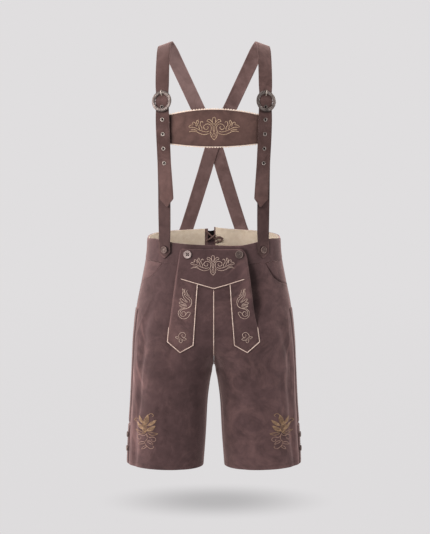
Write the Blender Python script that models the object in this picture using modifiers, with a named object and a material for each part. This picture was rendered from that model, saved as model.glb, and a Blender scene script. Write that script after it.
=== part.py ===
"""Short leather breeches with a drop front, worn with two braces and a chest strap.

Metres, +Z up. The front looks along -Y. The origin is the middle of the line along which
the undersides of both braces lie over the shoulders. Every leather piece is its own solid,
and neighbouring pieces stay SEAM apart.
"""

import math
from collections import namedtuple

import bmesh
import bpy
from mathutils import Matrix, Vector

MM = 0.001
NAME = "lederhosen"

# Leather and cloth, as cut.
SEAM = 0.3 * MM
LIFT = 0.4 * MM
SUEDE = 2.0 * MM
FLAP_SUEDE = 1.8 * MM
LINING = 1.1 * MM
LINING_DROP = 2 * MM
STRAP = 2.2 * MM

# Heights, measured down from the shoulders.
WAIST = -460 * MM
BAND_SEAM = -508 * MM
CROTCH = -765.5 * MM
HEM = -1008 * MM
WAIST_TILT = 0.095
HEM_RISE = 0.03
HEM_MIDDLE = 117 * MM

Section = namedtuple("Section", "height half_width leg_centre front back squareness")
SECTIONS = (
    Section(-460, 159.0, 0, 114, 113, 2.30),
    Section(-500, 161.5, 0, 117, 119, 2.30),
    Section(-568, 174.0, 0, 121, 131, 2.28),
    Section(-627, 185.5, 8, 123, 138, 2.26),
    Section(-700, 193.0, 52, 121, 137, 2.22),
    Section(-740, 195.0, 86, 118, 132, 2.14),
    Section(-765.5, 196.2, 98.25, 115, 127, 2.12),
    Section(-785, 197.1, 100.9, 113, 123, 2.11),
    Section(-805, 198.0, 103.4, 111, 119, 2.10),
    Section(-850, 200.2, 107.4, 107, 113, 2.10),
    Section(-930, 205.5, 112.3, 101, 106, 2.10),
    Section(-1008, 209.0, 117.0, 96, 100, 2.10),
)

# Soft folds: side is the wearer's +X or -X leg, turn is where the fold runs round the leg.
Fold = namedtuple("Fold", "side turn top bottom spread depth")
FOLDS = (
    Fold(1, 143, -620, -1010, 6.5, -3.4),
    Fold(1, 156, -680, -1010, 5.0, 1.8),
    Fold(1, 60, -800, -1010, 9.0, -2.6),
    Fold(1, 215, -640, -1010, 9.0, -3.6),
    Fold(1, 292, -700, -960, 10.0, -3.0),
    Fold(-1, 141, -600, -1010, 6.0, -3.8),
    Fold(-1, 154, -700, -1010, 5.5, 1.8),
    Fold(-1, 66, -820, -1010, 8.0, -2.4),
    Fold(-1, 220, -660, -1010, 8.0, -3.2),
    Fold(-1, 286, -720, -980, 11.0, -3.4),
)
FOLD_FADE = 60 * MM

FRONT_MIDDLE = 90.0
SIDE_SEAM = 180.0
FULL_TURN = 360.0
SEAM_TURN = 0.08

# Pieces laid along the side, under or over the fronts.
Strip = namedtuple("Strip", "first_turn last_turn top bottom thickness rows columns")
POCKET_FACING = Strip(129, 179.4, -510, -598, 1.4, 5, 7)
SIDE_WELT = Strip(165, 178, -629, -905, 1.4, 12, 3)
HEM_PLACKET = Strip(163, 179, -912, -1007, 1.6, 5, 3)

# Slanted pocket mouths in the two fronts.
PocketEdge = namedtuple("PocketEdge", "turn height")
POCKET_EDGE = (
    PocketEdge(135, -508),
    PocketEdge(142.5, -533),
    PocketEdge(150, -548),
    PocketEdge(157.5, -556),
    PocketEdge(165, -561),
    PocketEdge(172.5, -565),
    PocketEdge(180, -568),
)
POCKET_BLEND = -640 * MM

# Drop front: x is measured from the middle, z is a true height.
FLAP_TOP = -480 * MM
FLAP_CORNER = 8 * MM
FLAP_TOP_WIDTH = 79 * MM
V_MIDDLE = -572.5 * MM
V_SIDE = -549.5 * MM
V_SIDE_X = 90 * MM
TAB_INNER_TOP = 37.5 * MM
TAB_INNER_LOW = (49.0 * MM, -706.5 * MM)
TAB_POINT = (79.0 * MM, -725.0 * MM)
TAB_OUTER_LOW = (110.0 * MM, -699.0 * MM)
PIPING = 2.4 * MM
PIPING_THICK = 1.0 * MM
PIPING_INSET = 1.6 * MM
TAB_PIPING_START = (107.0 * MM, -664.0 * MM)
V_PIPING_REACH = 80 * MM
FLY_TOP = -574.7 * MM
FLY_END = -737 * MM
FLY_THICK = 0.8 * MM
FLY_SEAT = 1.8 * MM

# Slot at the middle of the back waist, off centre as it is laced.
SLOT_LEFT = -22 * MM
SLOT_RIGHT = 4 * MM
GUSSET_DROP = 5 * MM
GUSSET_DIP = 4 * MM
GUSSET_END = -496 * MM
GUSSET_OUT = -0.3 * MM
GUSSET_THICK = 1.2 * MM
LACE = 3.0 * MM
LACE_HOLD = 7 * MM
LACE_HIGH = -462 * MM
LACE_LOW = -482 * MM
BOW_MIDDLE = (21.5 * MM, -474.5 * MM)
BOW_REACH = (8.0 * MM, 5.8 * MM)
BOW_CORD = 3.4 * MM

# Braces.
BRACE_WIDTH = 34.5 * MM
LOWER_WIDTH = 32.0 * MM
BRACE_POINT = 17 * MM
BLUNT = 4 * MM
CROSSING_HEIGHT = -236 * MM
CROSSING_REACH = 120 * MM
CROSSING_STEP = 1.7 * MM
BUCKLE_HEIGHT = -136.5 * MM
BUCKLE_OUTER = 24.5 * MM
BUCKLE_INNER = 18.5 * MM
BUCKLE_THICK = 3.2 * MM
BUCKLE_OUT = 5.0 * MM
BUCKLE_LEAN = 0.0571
BAR_RADIUS = 1.3 * MM
BAR_OUT = 2.7 * MM
PRONG_WIDTH = 2.6 * MM
PRONG_THICK = 1.5 * MM
EYELET_DROPS = (12.9, 42.5, 76.3, 110.0, 144.0)
EYELET_HOLE = 3.0 * MM
HOLE_CUT = 12 * MM

Station = namedtuple("Station", "x y z nx ny nz")
BRACE_PATH = (
    Station(108.3, -96.4, -381, 0.44, -0.90, 0.00),
    Station(110.3, -96.2, -340, 0.42, -0.91, 0.00),
    Station(114.0, -95.7, -285, 0.39, -0.92, 0.00),
    Station(117.4, -95.9, -215, 0.375, -0.927, 0.00),
    Station(118.9, -95.6, -170, 0.375, -0.927, 0.02),
    Station(119.8, -94.5, -136.5, 0.375, -0.925, 0.08),
    Station(120.2, -88.0, -102, 0.375, -0.90, 0.22),
    Station(120.0, -74.0, -66, 0.375, -0.80, 0.45),
    Station(119.2, -53.0, -36, 0.36, -0.60, 0.70),
    Station(118.4, -28.0, -13, 0.33, -0.35, 0.87),
    Station(117.0, 0.0, 1.1, 0.31, 0.00, 0.95),
    Station(112.4, 22.0, -4, 0.33, 0.30, 0.89),
    Station(103.6, 45.0, -22, 0.35, 0.55, 0.75),
    Station(89.2, 71.0, -55, 0.30, 0.75, 0.50),
    Station(68.2, 92.0, -100, 0.22, 0.88, 0.30),
    Station(38.6, 108.0, -160, 0.10, 0.98, 0.12),
    Station(0.0, 116.5, -236, 0.00, 1.00, 0.00),
    Station(-26.2, 119.0, -320, -0.10, 0.99, 0.00),
    Station(-51.0, 116.5, -400, -0.20, 0.98, 0.00),
    Station(-64.5, 111.8, -442, -0.28, 0.96, 0.00),
)
LOWER_PATH = (
    Station(115.3, -92.5, -445, 0.50, -0.86, 0.00),
    Station(115.6, -92.8, -400, 0.44, -0.90, 0.00),
    Station(116.6, -94.2, -300, 0.38, -0.92, 0.00),
    Station(118.1, -95.6, -215, 0.375, -0.927, 0.00),
    Station(118.9, -95.6, -170, 0.375, -0.927, 0.02),
    Station(119.8, -94.5, -136.5, 0.375, -0.925, 0.08),
)
FRONT_TAB_X = 115.0 * MM
FRONT_TAB_POINT = -503.5 * MM
FRONT_TAB_SHOULDER = -491.5 * MM
FRONT_TAB_TOP = -466.0 * MM
LOWER_TURN_IN = 3 * MM
BACK_TAB_POINT = (-83.0 * MM, -497.0 * MM)
BACK_TAB_TOP = (-68.5 * MM, -456.0 * MM)

# The brace's way through the buckle: rise is measured up the brace from the buckle's middle.
Weave = namedtuple("Weave", "rise out width")
WEAVE = (
    Weave(-44, 2.6, 34.5),
    Weave(-30, 2.6, 33.5),
    Weave(-19, 2.55, 31.5),
    Weave(-7.4, 2.5, 31.0),
    Weave(-4.7, 3.7, 31.0),
    Weave(-2.3, 5.1, 31.0),
    Weave(0, 5.4, 31.0),
    Weave(2.5, 5.1, 31.0),
    Weave(6, 3.2, 31.0),
    Weave(10.1, 1.1, 31.0),
    Weave(16, 0.5, 31.5),
    Weave(24, 0.4, 32.5),
    Weave(36, 0.2, 34.0),
    Weave(50, 0.0, 34.5),
)

# The prong's free end, up out of the brace and over the ring's top.
Rise = namedtuple("Rise", "rise out")
PRONG_ROUTE = (
    Rise(8.5, 4.4),
    Rise(12.5, 4.7),
    Rise(16.5, 6.2),
    Rise(19.5, 7.2),
    Rise(23.5, 7.4),
    Rise(26.0, 7.1),
)

# Half sections that are turned into round pieces, in millimetres.
Turned = namedtuple("Turned", "radius height")
EYELET = (
    Turned(2.7, -2.5),
    Turned(2.7, 0.0),
    Turned(5.0, 0.0),
    Turned(5.2, 0.5),
    Turned(4.6, 1.1),
    Turned(2.9, 1.1),
    Turned(2.2, 0.6),
    Turned(2.2, -2.5),
)
BUTTON = (
    Turned(0.0, 1.7),
    Turned(0.5, 1.6),
    Turned(0.72, 2.5),
    Turned(0.92, 2.4),
    Turned(1.0, 1.6),
    Turned(0.9, 0.5),
    Turned(0.6, 0.0),
    Turned(0.0, 0.0),
)
STRAP_BUTTON = 8.2 * MM
STRAP_BUTTON_HEIGHT = -484.5 * MM
BACK_BUTTON_HEIGHT = -478 * MM
FLAP_BUTTON = 9.5 * MM
FLAP_BUTTON_X = 61 * MM
FLAP_BUTTON_HEIGHT = -493.5 * MM
HEM_BUTTON = 6.8 * MM
HEM_BUTTON_TURN = 171
HEM_BUTTON_HEIGHTS = (-936 * MM, -970.5 * MM)

# Chest strap: it lies behind both braces.
CHEST_END = 131 * MM
CHEST_TOP = (-157 * MM, -171.5 * MM)
CHEST_BOTTOM = (-241.8 * MM, -232.0 * MM)
CHEST_Y = (-116.4 * MM, -92.4 * MM)
CHEST_SUEDE = 1.8 * MM
BRACE_X = 118 * MM
TRIM_REACH = 126 * MM
TRIM_WIDTH = 8 * MM
TRIM_SHOWS = 2.6 * MM
TRIM_THICK = 0.9 * MM

FINISHES = {
    "suede": ("suede brown", (0.095, 0.060, 0.052), 0.9, 0.0),
    "lining": ("lining cream", (0.60, 0.46, 0.33), 0.9, 0.0),
    "piping": ("piping tan", (0.58, 0.36, 0.27), 0.7, 0.0),
    "silver": ("antique silver", (0.30, 0.27, 0.23), 0.4, 1.0),
    "horn": ("pale horn", (0.55, 0.49, 0.44), 0.4, 0.0),
    "lace": ("leather lace", (0.075, 0.048, 0.040), 0.8, 0.0),
}


def clear_scene():
    for old in list(bpy.data.objects):
        bpy.data.objects.remove(old, do_unlink=True)


def finish(kind):
    """The Principled material for one kind of leather, cloth or metal."""
    name, colour, roughness, metallic = FINISHES[kind]
    material = bpy.data.materials.get(name)
    if material is None:
        material = bpy.data.materials.new(name)
        material.use_nodes = True
        shader = material.node_tree.nodes["Principled BSDF"]
        shader.inputs["Base Color"].default_value = (*colour, 1.0)
        shader.inputs["Roughness"].default_value = roughness
        shader.inputs["Metallic"].default_value = metallic
    return material


def collection(name):
    made = bpy.data.collections.new(name)
    bpy.context.scene.collection.children.link(made)
    return made


def add_object(name, mesh, kind, place=None):
    obj = bpy.data.objects.new(name, mesh)
    mesh.materials.append(finish(kind))
    PARTS.objects.link(obj)
    if place is not None:
        obj.matrix_world = place
    mesh.shade_smooth()
    mesh.set_sharp_from_angle(angle=math.radians(35))
    return obj


# ---------------------------------------------------------------- smooth tables


def smooth_row(rows, at):
    """A row between rows of a table, by a cubic through them on their first column."""
    last = len(rows) - 1
    rising = rows[last][0] > rows[0][0]
    spot = 0
    while spot < last - 1 and (rows[spot + 1][0] < at) == rising:
        spot += 1
    low, high = rows[spot], rows[spot + 1]
    before, after = rows[max(spot - 1, 0)], rows[min(spot + 2, last)]
    span = high[0] - low[0]
    part = min(max((at - low[0]) / span, 0.0), 1.0)
    values = []
    for column in range(1, len(low)):
        start = (high[column] - before[column]) / (high[0] - before[0]) * span
        end = (after[column] - low[column]) / (after[0] - low[0]) * span
        values.append(hermite(low[column], high[column], start, end, part))
    return type(low)(at, *values)


def hermite(low, high, start, end, part):
    square, cube = part * part, part * part * part
    rest = (2 * cube - 3 * square + 1) * low + (3 * square - 2 * cube) * high
    return rest + (cube - 2 * square + part) * start + (cube - square) * end


def linear_row(rows, at):
    """A row between rows of a table, on straight lines."""
    rising = rows[-1][0] > rows[0][0]
    for low, high in zip(rows, rows[1:]):
        if (at <= high[0]) == rising or high is rows[-1]:
            part = min(max((at - low[0]) / (high[0] - low[0]), 0.0), 1.0)
            return type(low)(at, *(a + (b - a) * part for a, b in zip(low[1:], high[1:])))


def ease(value):
    value = min(max(value, 0.0), 1.0)
    return value * value * (3 - 2 * value)


# ---------------------------------------------------------------- the body of the breeches


def signed_power(value, power):
    return math.copysign(abs(value) ** power, value)


def bare(turn, height):
    """The +X half's face without folds. turn: 0 inseam, 90 front, 180 side, 270 back."""
    cut = smooth_row(SECTIONS, height / MM)
    centre = max(cut.leg_centre, 0.0) * MM
    reach = cut.half_width * MM - centre
    angle = math.radians(turn)
    power = 2 / cut.squareness
    depth = cut.front if turn <= SIDE_SEAM else cut.back
    x = centre - reach * signed_power(math.cos(angle), power)
    y = -depth * MM * signed_power(math.sin(angle), power)
    tilt = WAIST_TILT * ease((height + 620 * MM) / (160 * MM))
    rise = HEM_RISE * ease((-850 * MM - height) / (158 * MM))
    return Vector((x, y, height + tilt * y + rise * (x - HEM_MIDDLE)))


def fold_depth(side, turn, height):
    total = 0.0
    for fold in FOLDS:
        if fold.side != side:
            continue
        fade_in = ease((fold.top * MM - height) / FOLD_FADE)
        fade_out = ease((height - fold.bottom * MM + FOLD_FADE / 2) / FOLD_FADE)
        across = (turn - fold.turn) / fold.spread
        total += fold.depth * MM * math.exp(-across * across) * fade_in * fade_out
    return total


def skin(side, turn, height, out=0.0):
    """A point out from the suede's face on the half named by side, folds included."""
    nudge_turn, nudge_height = 0.4, 1.5 * MM
    along = bare(turn + nudge_turn, height) - bare(turn - nudge_turn, height)
    up = bare(turn, height + nudge_height) - bare(turn, height - nudge_height)
    normal = along.cross(up).normalized()
    point = bare(turn, height) + normal * (out + fold_depth(side, turn, height))
    return Vector((side * point.x, point.y, point.z))


def turn_at(x, height, back=False):
    """The turn at which the section at this height has this distance from the middle."""
    cut = smooth_row(SECTIONS, height / MM)
    centre = max(cut.leg_centre, 0.0) * MM
    reach = cut.half_width * MM - centre
    share = signed_power(min(max((centre - x) / reach, -1.0), 1.0), cut.squareness / 2)
    turn = math.degrees(math.acos(share))
    return FULL_TURN - turn if back else turn


def on_face(x, z, out=0.0, back=False):
    """The point of the front or back with this signed x and true height z."""
    side = -1 if x < 0 else 1
    height = z
    for _ in range(4):
        turn = turn_at(abs(x), height, back)
        height += z - skin(side, turn, height).z
    return skin(side, turn, height, out)


# ---------------------------------------------------------------- solids from rows of points


def sheet(name, outer, inner, kind):
    """A closed wall between two like grids of points, the loft of one cut piece."""
    cage = bmesh.new()
    rows, columns = len(outer), len(outer[0])
    faces_out = [[cage.verts.new(point) for point in row] for row in outer]
    faces_in = [[cage.verts.new(point) for point in row] for row in inner]
    for row in range(rows - 1):
        for column in range(columns - 1):
            for side, step in ((faces_out, 1), (faces_in, -1)):
                corners = [side[row][column], side[row][column + 1]]
                corners += [side[row + 1][column + 1], side[row + 1][column]]
                cage.faces.new(corners[::step])
    rim = [(row, 0) for row in range(rows)]
    rim += [(rows - 1, column) for column in range(1, columns)]
    rim += [(row, columns - 1) for row in range(rows - 2, -1, -1)]
    rim += [(0, column) for column in range(columns - 2, 0, -1)]
    for (row, column), (next_row, next_column) in zip(rim, rim[1:] + rim[:1]):
        near, far = faces_out[row][column], faces_out[next_row][next_column]
        cage.faces.new((near, far, faces_in[next_row][next_column], faces_in[row][column]))
    return finish_cage(name, cage, kind)


def finish_cage(name, cage, kind):
    bmesh.ops.recalc_face_normals(cage, faces=cage.faces)
    if cage.calc_volume(signed=True) < 0:
        bmesh.ops.reverse_faces(cage, faces=cage.faces)
    mesh = bpy.data.meshes.new(name)
    cage.to_mesh(mesh)
    cage.free()
    return add_object(name, mesh, kind)


def spread(low, high, count):
    return [low + (high - low) * step / count for step in range(count + 1)]


def laid_grid(name, point_at, rows, columns, inside, outside, kind):
    """A wall whose points come from point_at(row share, column share, out)."""
    walls = []
    for out in (outside, inside):
        walls.append([[point_at(row, column, out) for column in columns] for row in rows])
    return sheet(name, walls[0], walls[1], kind)


def panel_heights():
    """Levels from the band's seam to the hem, closest together at the crotch."""
    above, below = 12, 10
    levels = []
    for step in range(above, 0, -1):
        levels.append(CROTCH + (BAND_SEAM - SEAM / 2 - CROTCH) * (step / above) ** 1.6)
    for step in range(below + 1):
        levels.append(CROTCH + (HEM - CROTCH) * (step / below) ** 1.3)
    return levels


def middle_turn(height):
    """Where a half's front edge runs: the middle seam above the crotch, the inseam below."""
    return max(turn_at(SEAM / 2, height), 0.12)


def front_panel(name, side):
    levels = panel_heights()
    blend = [step for step, height in enumerate(levels) if height > POCKET_BLEND][-1]

    def point_at(row, column, out):
        top_turn = FRONT_MIDDLE + (SIDE_SEAM - FRONT_MIDDLE) * column
        height = levels[row]
        if row <= blend and top_turn > POCKET_EDGE[0].turn:
            mouth = linear_row(POCKET_EDGE, top_turn).height * MM
            height = mouth + (levels[blend] - mouth) * row / blend
        start = middle_turn(height)
        end = SIDE_SEAM - SEAM_TURN
        return skin(side, start + (end - start) * column, height, out)

    laid_grid(name, point_at, range(len(levels)), spread(0, 1, 12), -SUEDE, 0.0, "suede")


def back_panel(name, side):
    levels = panel_heights()

    def point_at(row, column, out):
        start = SIDE_SEAM + SEAM_TURN
        end = FULL_TURN - middle_turn(levels[row])
        return skin(side, start + (end - start) * column, levels[row], out)

    laid_grid(name, point_at, range(len(levels)), spread(0, 1, 12), -SUEDE, 0.0, "suede")


def side_piece(name, side, strip, inside):
    """A strip that follows the side's face, its own inner face at a distance out from it."""

    def point_at(row, column, out):
        turn = strip.first_turn + (strip.last_turn - strip.first_turn) * column
        height = strip.top + (strip.bottom - strip.top) * row
        return skin(side, turn, height * MM, out)

    laid_grid(name, point_at, spread(0, 1, strip.rows), spread(0, 1, strip.columns),
              inside, inside + strip.thickness * MM, "suede")


def band_turns(x_end):
    """Turns from the front middle round to the slot's edge at the back."""
    start = turn_at(SEAM / 2, WAIST)
    end = turn_at(abs(x_end), WAIST, back=True)
    return spread(start, end, 24)


def waistband(name, side, x_end):
    turns = band_turns(x_end)
    heights = (WAIST, (WAIST + BAND_SEAM) / 2, BAND_SEAM + SEAM / 2)
    laid_grid(name, lambda height, turn, out: skin(side, turn, height, out),
              heights, turns, -SUEDE, 0.0, "suede")


def waist_lining(name, side, x_end):
    turns = band_turns(x_end)
    heights = (WAIST - LINING_DROP, (WAIST + BAND_SEAM) / 2, BAND_SEAM + SEAM / 2)
    outside = -SUEDE - SEAM
    laid_grid(name, lambda height, turn, out: skin(side, turn, height, out),
              heights, turns, outside - LINING, outside, "lining")


def back_gusset():
    """The suede wedge that closes the laced slot, set between the band's two ends."""

    def point_at(row, column, out):
        x = SLOT_LEFT + SEAM + (SLOT_RIGHT - SLOT_LEFT - 2 * SEAM) * column
        top = WAIST + GUSSET_DROP - GUSSET_DIP * math.sin(math.pi * column)
        z = top + (GUSSET_END - top) * row
        return on_face(x, z, out, back=True)

    laid_grid("back_gusset", point_at, spread(0, 1, 3), spread(0, 1, 6),
              GUSSET_OUT - GUSSET_THICK, GUSSET_OUT, "suede")


# ---------------------------------------------------------------- the drop front


def v_line(x):
    """The height of the V seam that ends the yoke, at a distance from the middle."""
    return V_MIDDLE + (V_SIDE - V_MIDDLE) * abs(x) / V_SIDE_X


def flap_half_width(z):
    return FLAP_TOP_WIDTH + (V_SIDE_X - FLAP_TOP_WIDTH) * (FLAP_TOP - z) / (FLAP_TOP - V_SIDE)


def flap_yoke():
    def point_at(row, column, out):
        low = v_line(V_SIDE_X * column) + SEAM
        near_side = max(abs(column) - 1 + FLAP_CORNER / FLAP_TOP_WIDTH, 0) * FLAP_TOP_WIDTH
        drop = FLAP_CORNER - math.sqrt(max(FLAP_CORNER ** 2 - near_side ** 2, 0.0))
        top = FLAP_TOP - drop
        z = top + (low - top) * row
        return on_face(column * flap_half_width(z), z, out)

    columns = [-1, -0.97, -0.92] + spread(-0.85, 0.85, 12) + [0.92, 0.97, 1]
    laid_grid("flap_yoke", point_at, spread(0, 1, 6), columns, LIFT, LIFT + FLAP_SUEDE, "suede")


def tab_edge(column):
    """The top and bottom points of one column of a pointed tab, inner edge at 0."""
    x_top = TAB_INNER_TOP + (V_SIDE_X - TAB_INNER_TOP) * column
    top = (x_top, v_line(x_top) - SEAM)
    point_share = (TAB_POINT[0] - TAB_INNER_LOW[0]) / (TAB_OUTER_LOW[0] - TAB_INNER_LOW[0])
    if column <= point_share:
        part, start, end = column / point_share, TAB_INNER_LOW, TAB_POINT
    else:
        part, start, end = (column - point_share) / (1 - point_share), TAB_POINT, TAB_OUTER_LOW
    low = (start[0] + (end[0] - start[0]) * part, start[1] + (end[1] - start[1]) * part)
    return top, low


def flap_tab(name, side):
    def point_at(row, column, out):
        top, low = tab_edge(column)
        x = top[0] + (low[0] - top[0]) * row
        z = top[1] + (low[1] - top[1]) * row
        return on_face(side * x, z, out)

    columns = spread(0, 1, 6)
    laid_grid(name, point_at, spread(0, 1, 10), columns, LIFT, LIFT + FLAP_SUEDE, "suede")


def face_strip(name, route):
    """A strip of piping sewn over the flap along (x, z) points."""
    inside = LIFT + FLAP_SUEDE + SEAM
    walls = []
    for out in (inside + PIPING_THICK, inside):
        rows = []
        for step, (x, z) in enumerate(route):
            before, after = route[max(step - 1, 0)], route[min(step + 1, len(route) - 1)]
            along = Vector((after[0] - before[0], after[1] - before[1])).normalized()
            across = (-along.y * PIPING / 2, along.x * PIPING / 2)
            rows.append([on_face(x + across[0] * s, z + across[1] * s, out) for s in (1, -1)])
        walls.append(rows)
    return sheet(name, walls[0], walls[1], "piping")


def straight(start, end, count):
    return [tuple(a + (b - a) * step / count for a, b in zip(start, end))
            for step in range(count + 1)]


def pipings():
    v_route = straight((-V_PIPING_REACH, v_line(V_PIPING_REACH)), (0.0, V_MIDDLE), 7)
    v_route += straight((0.0, V_MIDDLE), (V_PIPING_REACH, v_line(V_PIPING_REACH)), 7)[1:]
    face_strip("piping_v", v_route)
    start_under_v = TAB_INNER_TOP + PIPING_INSET + 1.5 * MM
    corners = (
        (TAB_PIPING_START[0] - PIPING_INSET, TAB_PIPING_START[1]),
        (TAB_OUTER_LOW[0] - PIPING_INSET, TAB_OUTER_LOW[1] + 0.6 * MM),
        (TAB_POINT[0], TAB_POINT[1] + 1.8 * MM),
        (TAB_INNER_LOW[0] + PIPING_INSET, TAB_INNER_LOW[1] + 0.6 * MM),
        (start_under_v, v_line(start_under_v) - PIPING),
    )
    route = [corners[0]]
    for start, end, count in zip(corners, corners[1:], (4, 4, 4, 14)):
        route += straight(start, end, count)[1:]
    face_strip("piping_tab_left", [(-x, z) for x, z in route])
    face_strip("piping_tab_right", route)


def fly_piping():
    """The raised line down the middle seam, standing on both fronts' edges."""
    walls = []
    for out in (LIFT + FLY_THICK, LIFT):
        rows = []
        for z in spread(FLY_TOP, FLY_END, 12):
            seat = on_face(FLY_SEAT, z, out)
            rows.append([Vector((x, seat.y, seat.z)) for x in (-PIPING / 2, PIPING / 2)])
        walls.append(rows)
    sheet("piping_fly", walls[0], walls[1], "piping")


# ---------------------------------------------------------------- straps


class Track:
    """A smooth line through stations, read by its length from the first one."""

    def __init__(self, stations, side):
        self.points, self.normals, self.lengths = [], [], [0.0]
        rows = [Vector((side * s.x * MM, s.y * MM, s.z * MM)) for s in stations]
        facing = [Vector((side * s.nx, s.ny, s.nz)) for s in stations]
        steps = 10
        for spot in range(len(rows) - 1):
            before, after = max(spot - 1, 0), min(spot + 2, len(rows) - 1)
            start = (rows[spot + 1] - rows[before]) / (spot + 1 - before)
            end = (rows[after] - rows[spot]) / (after - spot)
            for step in range(steps + (spot == len(rows) - 2)):
                part = step / steps
                pairs = zip(rows[spot], rows[spot + 1], start, end)
                self.points.append(Vector([hermite(*pair, part) for pair in pairs]))
                self.normals.append(facing[spot].lerp(facing[spot + 1], part))
        for near, far in zip(self.points, self.points[1:]):
            self.lengths.append(self.lengths[-1] + (far - near).length)
        self.length = self.lengths[-1]

    def place(self, at):
        """The frame at a length: columns across, along and out, with its point."""
        spot = 0
        while spot < len(self.points) - 2 and self.lengths[spot + 1] < at:
            spot += 1
        span = self.lengths[spot + 1] - self.lengths[spot]
        part = (at - self.lengths[spot]) / span
        along = (self.points[spot + 1] - self.points[spot]).normalized()
        out = self.normals[spot].lerp(self.normals[spot + 1], min(max(part, 0), 1))
        across = along.cross(out).normalized()
        out = across.cross(along).normalized()
        point = self.points[spot].lerp(self.points[spot + 1], part)
        frame = Matrix((across, along, out)).transposed().to_4x4()
        frame.translation = point
        return frame

    def length_at_height(self, z):
        """The length at which the line first climbs past a height."""
        spot = 0
        while self.points[spot + 1].z < z:
            spot += 1
        low, high = self.points[spot].z, self.points[spot + 1].z
        start, end = self.lengths[spot], self.lengths[spot + 1]
        return start + (end - start) * (z - low) / (high - low)


def ribbon(name, cuts, thickness, kind):
    """A flat strap through cuts: each is a frame, its width and how far out it lies."""
    walls = []
    for face in (thickness / 2, -thickness / 2):
        rows = []
        for frame, width, out in cuts:
            rows.append([frame @ Vector((share * width / 2, 0, out + face)) for share in (-1, 1)])
        walls.append(rows)
    return sheet(name, walls[0], walls[1], kind)


def seat_frame(here, there, above):
    """A frame at a point of a face: Y towards a second point, Z towards one off the face."""
    out = (above - here).normalized()
    across = (there - here).cross(out).normalized()
    frame = Matrix((across, out.cross(across), out)).transposed().to_4x4()
    frame.translation = here
    return frame


def tab_frame(x, z, x_next, z_next, back):
    """A frame on the front or back, its Y pointing at the next point."""
    return seat_frame(on_face(x, z, back=back), on_face(x_next, z_next, back=back),
                      on_face(x, z, 1 * MM, back=back))


def crossing_shift(side, height):
    """One brace passes inside the other where they cross behind the shoulders."""
    near = 1 - abs(height - CROSSING_HEIGHT) / CROSSING_REACH
    return -side * CROSSING_STEP * ease(near * 1.6)


def brace_cuts(side):
    track = Track(BRACE_PATH, side)
    middle = track.length_at_height(BUCKLE_HEIGHT)
    marks = [0.0, BRACE_POINT]
    marks += [middle + row.rise * MM for row in WEAVE]
    front_gap = middle + WEAVE[0].rise * MM - BRACE_POINT
    marks += [BRACE_POINT + front_gap * step / 8 for step in range(1, 8)]
    behind = middle + WEAVE[-1].rise * MM
    marks += [behind + (track.length - behind) * step / 40 for step in range(1, 41)]
    cuts = []
    for mark in sorted(marks):
        frame = track.place(mark)
        row = linear_row(WEAVE, (mark - middle) / MM)
        width = row.width * MM if mark >= BRACE_POINT else BLUNT
        out = row.out * MM
        if frame.translation.y > 0:
            out += crossing_shift(side, frame.translation.z)
        cuts.append((frame, width, out))
    return track, middle, cuts


def back_tab_cuts(side):
    """The brace's end on the back of the waistband, pointed, under its button."""
    (x_low, z_low), (x_top, z_top) = BACK_TAB_POINT, BACK_TAB_TOP
    nudge_x, nudge_z = (x_low - x_top) * 0.05, (z_low - z_top) * 0.05
    cuts = []
    for share, width in ((0.0, BRACE_WIDTH), (0.36, BRACE_WIDTH), (0.68, BRACE_WIDTH), (1.0, BLUNT)):
        x, z = x_top + (x_low - x_top) * share, z_top + (z_low - z_top) * share
        frame = tab_frame(side * x, z, side * (x + nudge_x), z + nudge_z, True)
        cuts.append((frame, width, LIFT + STRAP / 2))
    return cuts


def eyelet_places(track, middle):
    """A frame for each eyelet, on the brace's outer face."""
    places = []
    for drop in EYELET_DROPS:
        out = linear_row(WEAVE, -drop).out * MM + STRAP / 2 + SEAM
        places.append(track.place(middle - drop * MM) @ Matrix.Translation((0, 0, out)))
    return places


def hidden_cutter(name, cage):
    """A helper solid that a Boolean uses and that is never drawn."""
    mesh = bpy.data.meshes.new(name)
    cage.to_mesh(mesh)
    cage.free()
    obj = bpy.data.objects.new(name, mesh)
    obj.hide_render = True
    obj.display_type = "WIRE"
    TOOLS.objects.link(obj)
    return obj


def boolean(target, operation, cutter):
    modifier = target.modifiers.new(operation.lower(), "BOOLEAN")
    modifier.operation = operation
    modifier.solver = "EXACT"
    modifier.object = cutter


def braces():
    """Both long straps, holed for their eyelets. Returns each one's line and buckle length."""
    tracks = {}
    for name, side in (("left", -1), ("right", 1)):
        track, middle, cuts = brace_cuts(side)
        strap = ribbon(f"brace_{name}", cuts + back_tab_cuts(side), STRAP, "suede")
        cage = bmesh.new()
        for place in eyelet_places(track, middle):
            bmesh.ops.create_cone(cage, cap_ends=True, segments=12, radius1=EYELET_HOLE,
                                  radius2=EYELET_HOLE, depth=HOLE_CUT, matrix=place)
        boolean(strap, "DIFFERENCE", hidden_cutter(f"holes_{name}", cage))
        tracks[side] = (track, middle)
    return tracks


def lower_straps():
    """The short front straps: buttoned to the waistband, looped behind the buckle's bar."""
    for name, side in (("left", -1), ("right", 1)):
        track = Track(LOWER_PATH, side)
        cuts = []
        for z, width in ((FRONT_TAB_POINT, BLUNT), (FRONT_TAB_SHOULDER, LOWER_WIDTH),
                         (FRONT_TAB_TOP, LOWER_WIDTH)):
            frame = tab_frame(side * FRONT_TAB_X, z, side * FRONT_TAB_X, z + 1 * MM, False)
            cuts.append((frame, width, LIFT + STRAP / 2))
        for mark in spread(0.0, track.length + LOWER_TURN_IN, 16):
            cuts.append((track.place(mark), LOWER_WIDTH, 0.0))
        ribbon(f"lower_strap_{name}", cuts, STRAP, "suede")


def chest_line(x, ends):
    """A value that bows from its middle to its value where the braces lie."""
    return ends[0] + (ends[1] - ends[0]) * (x / BRACE_X) ** 2


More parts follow.
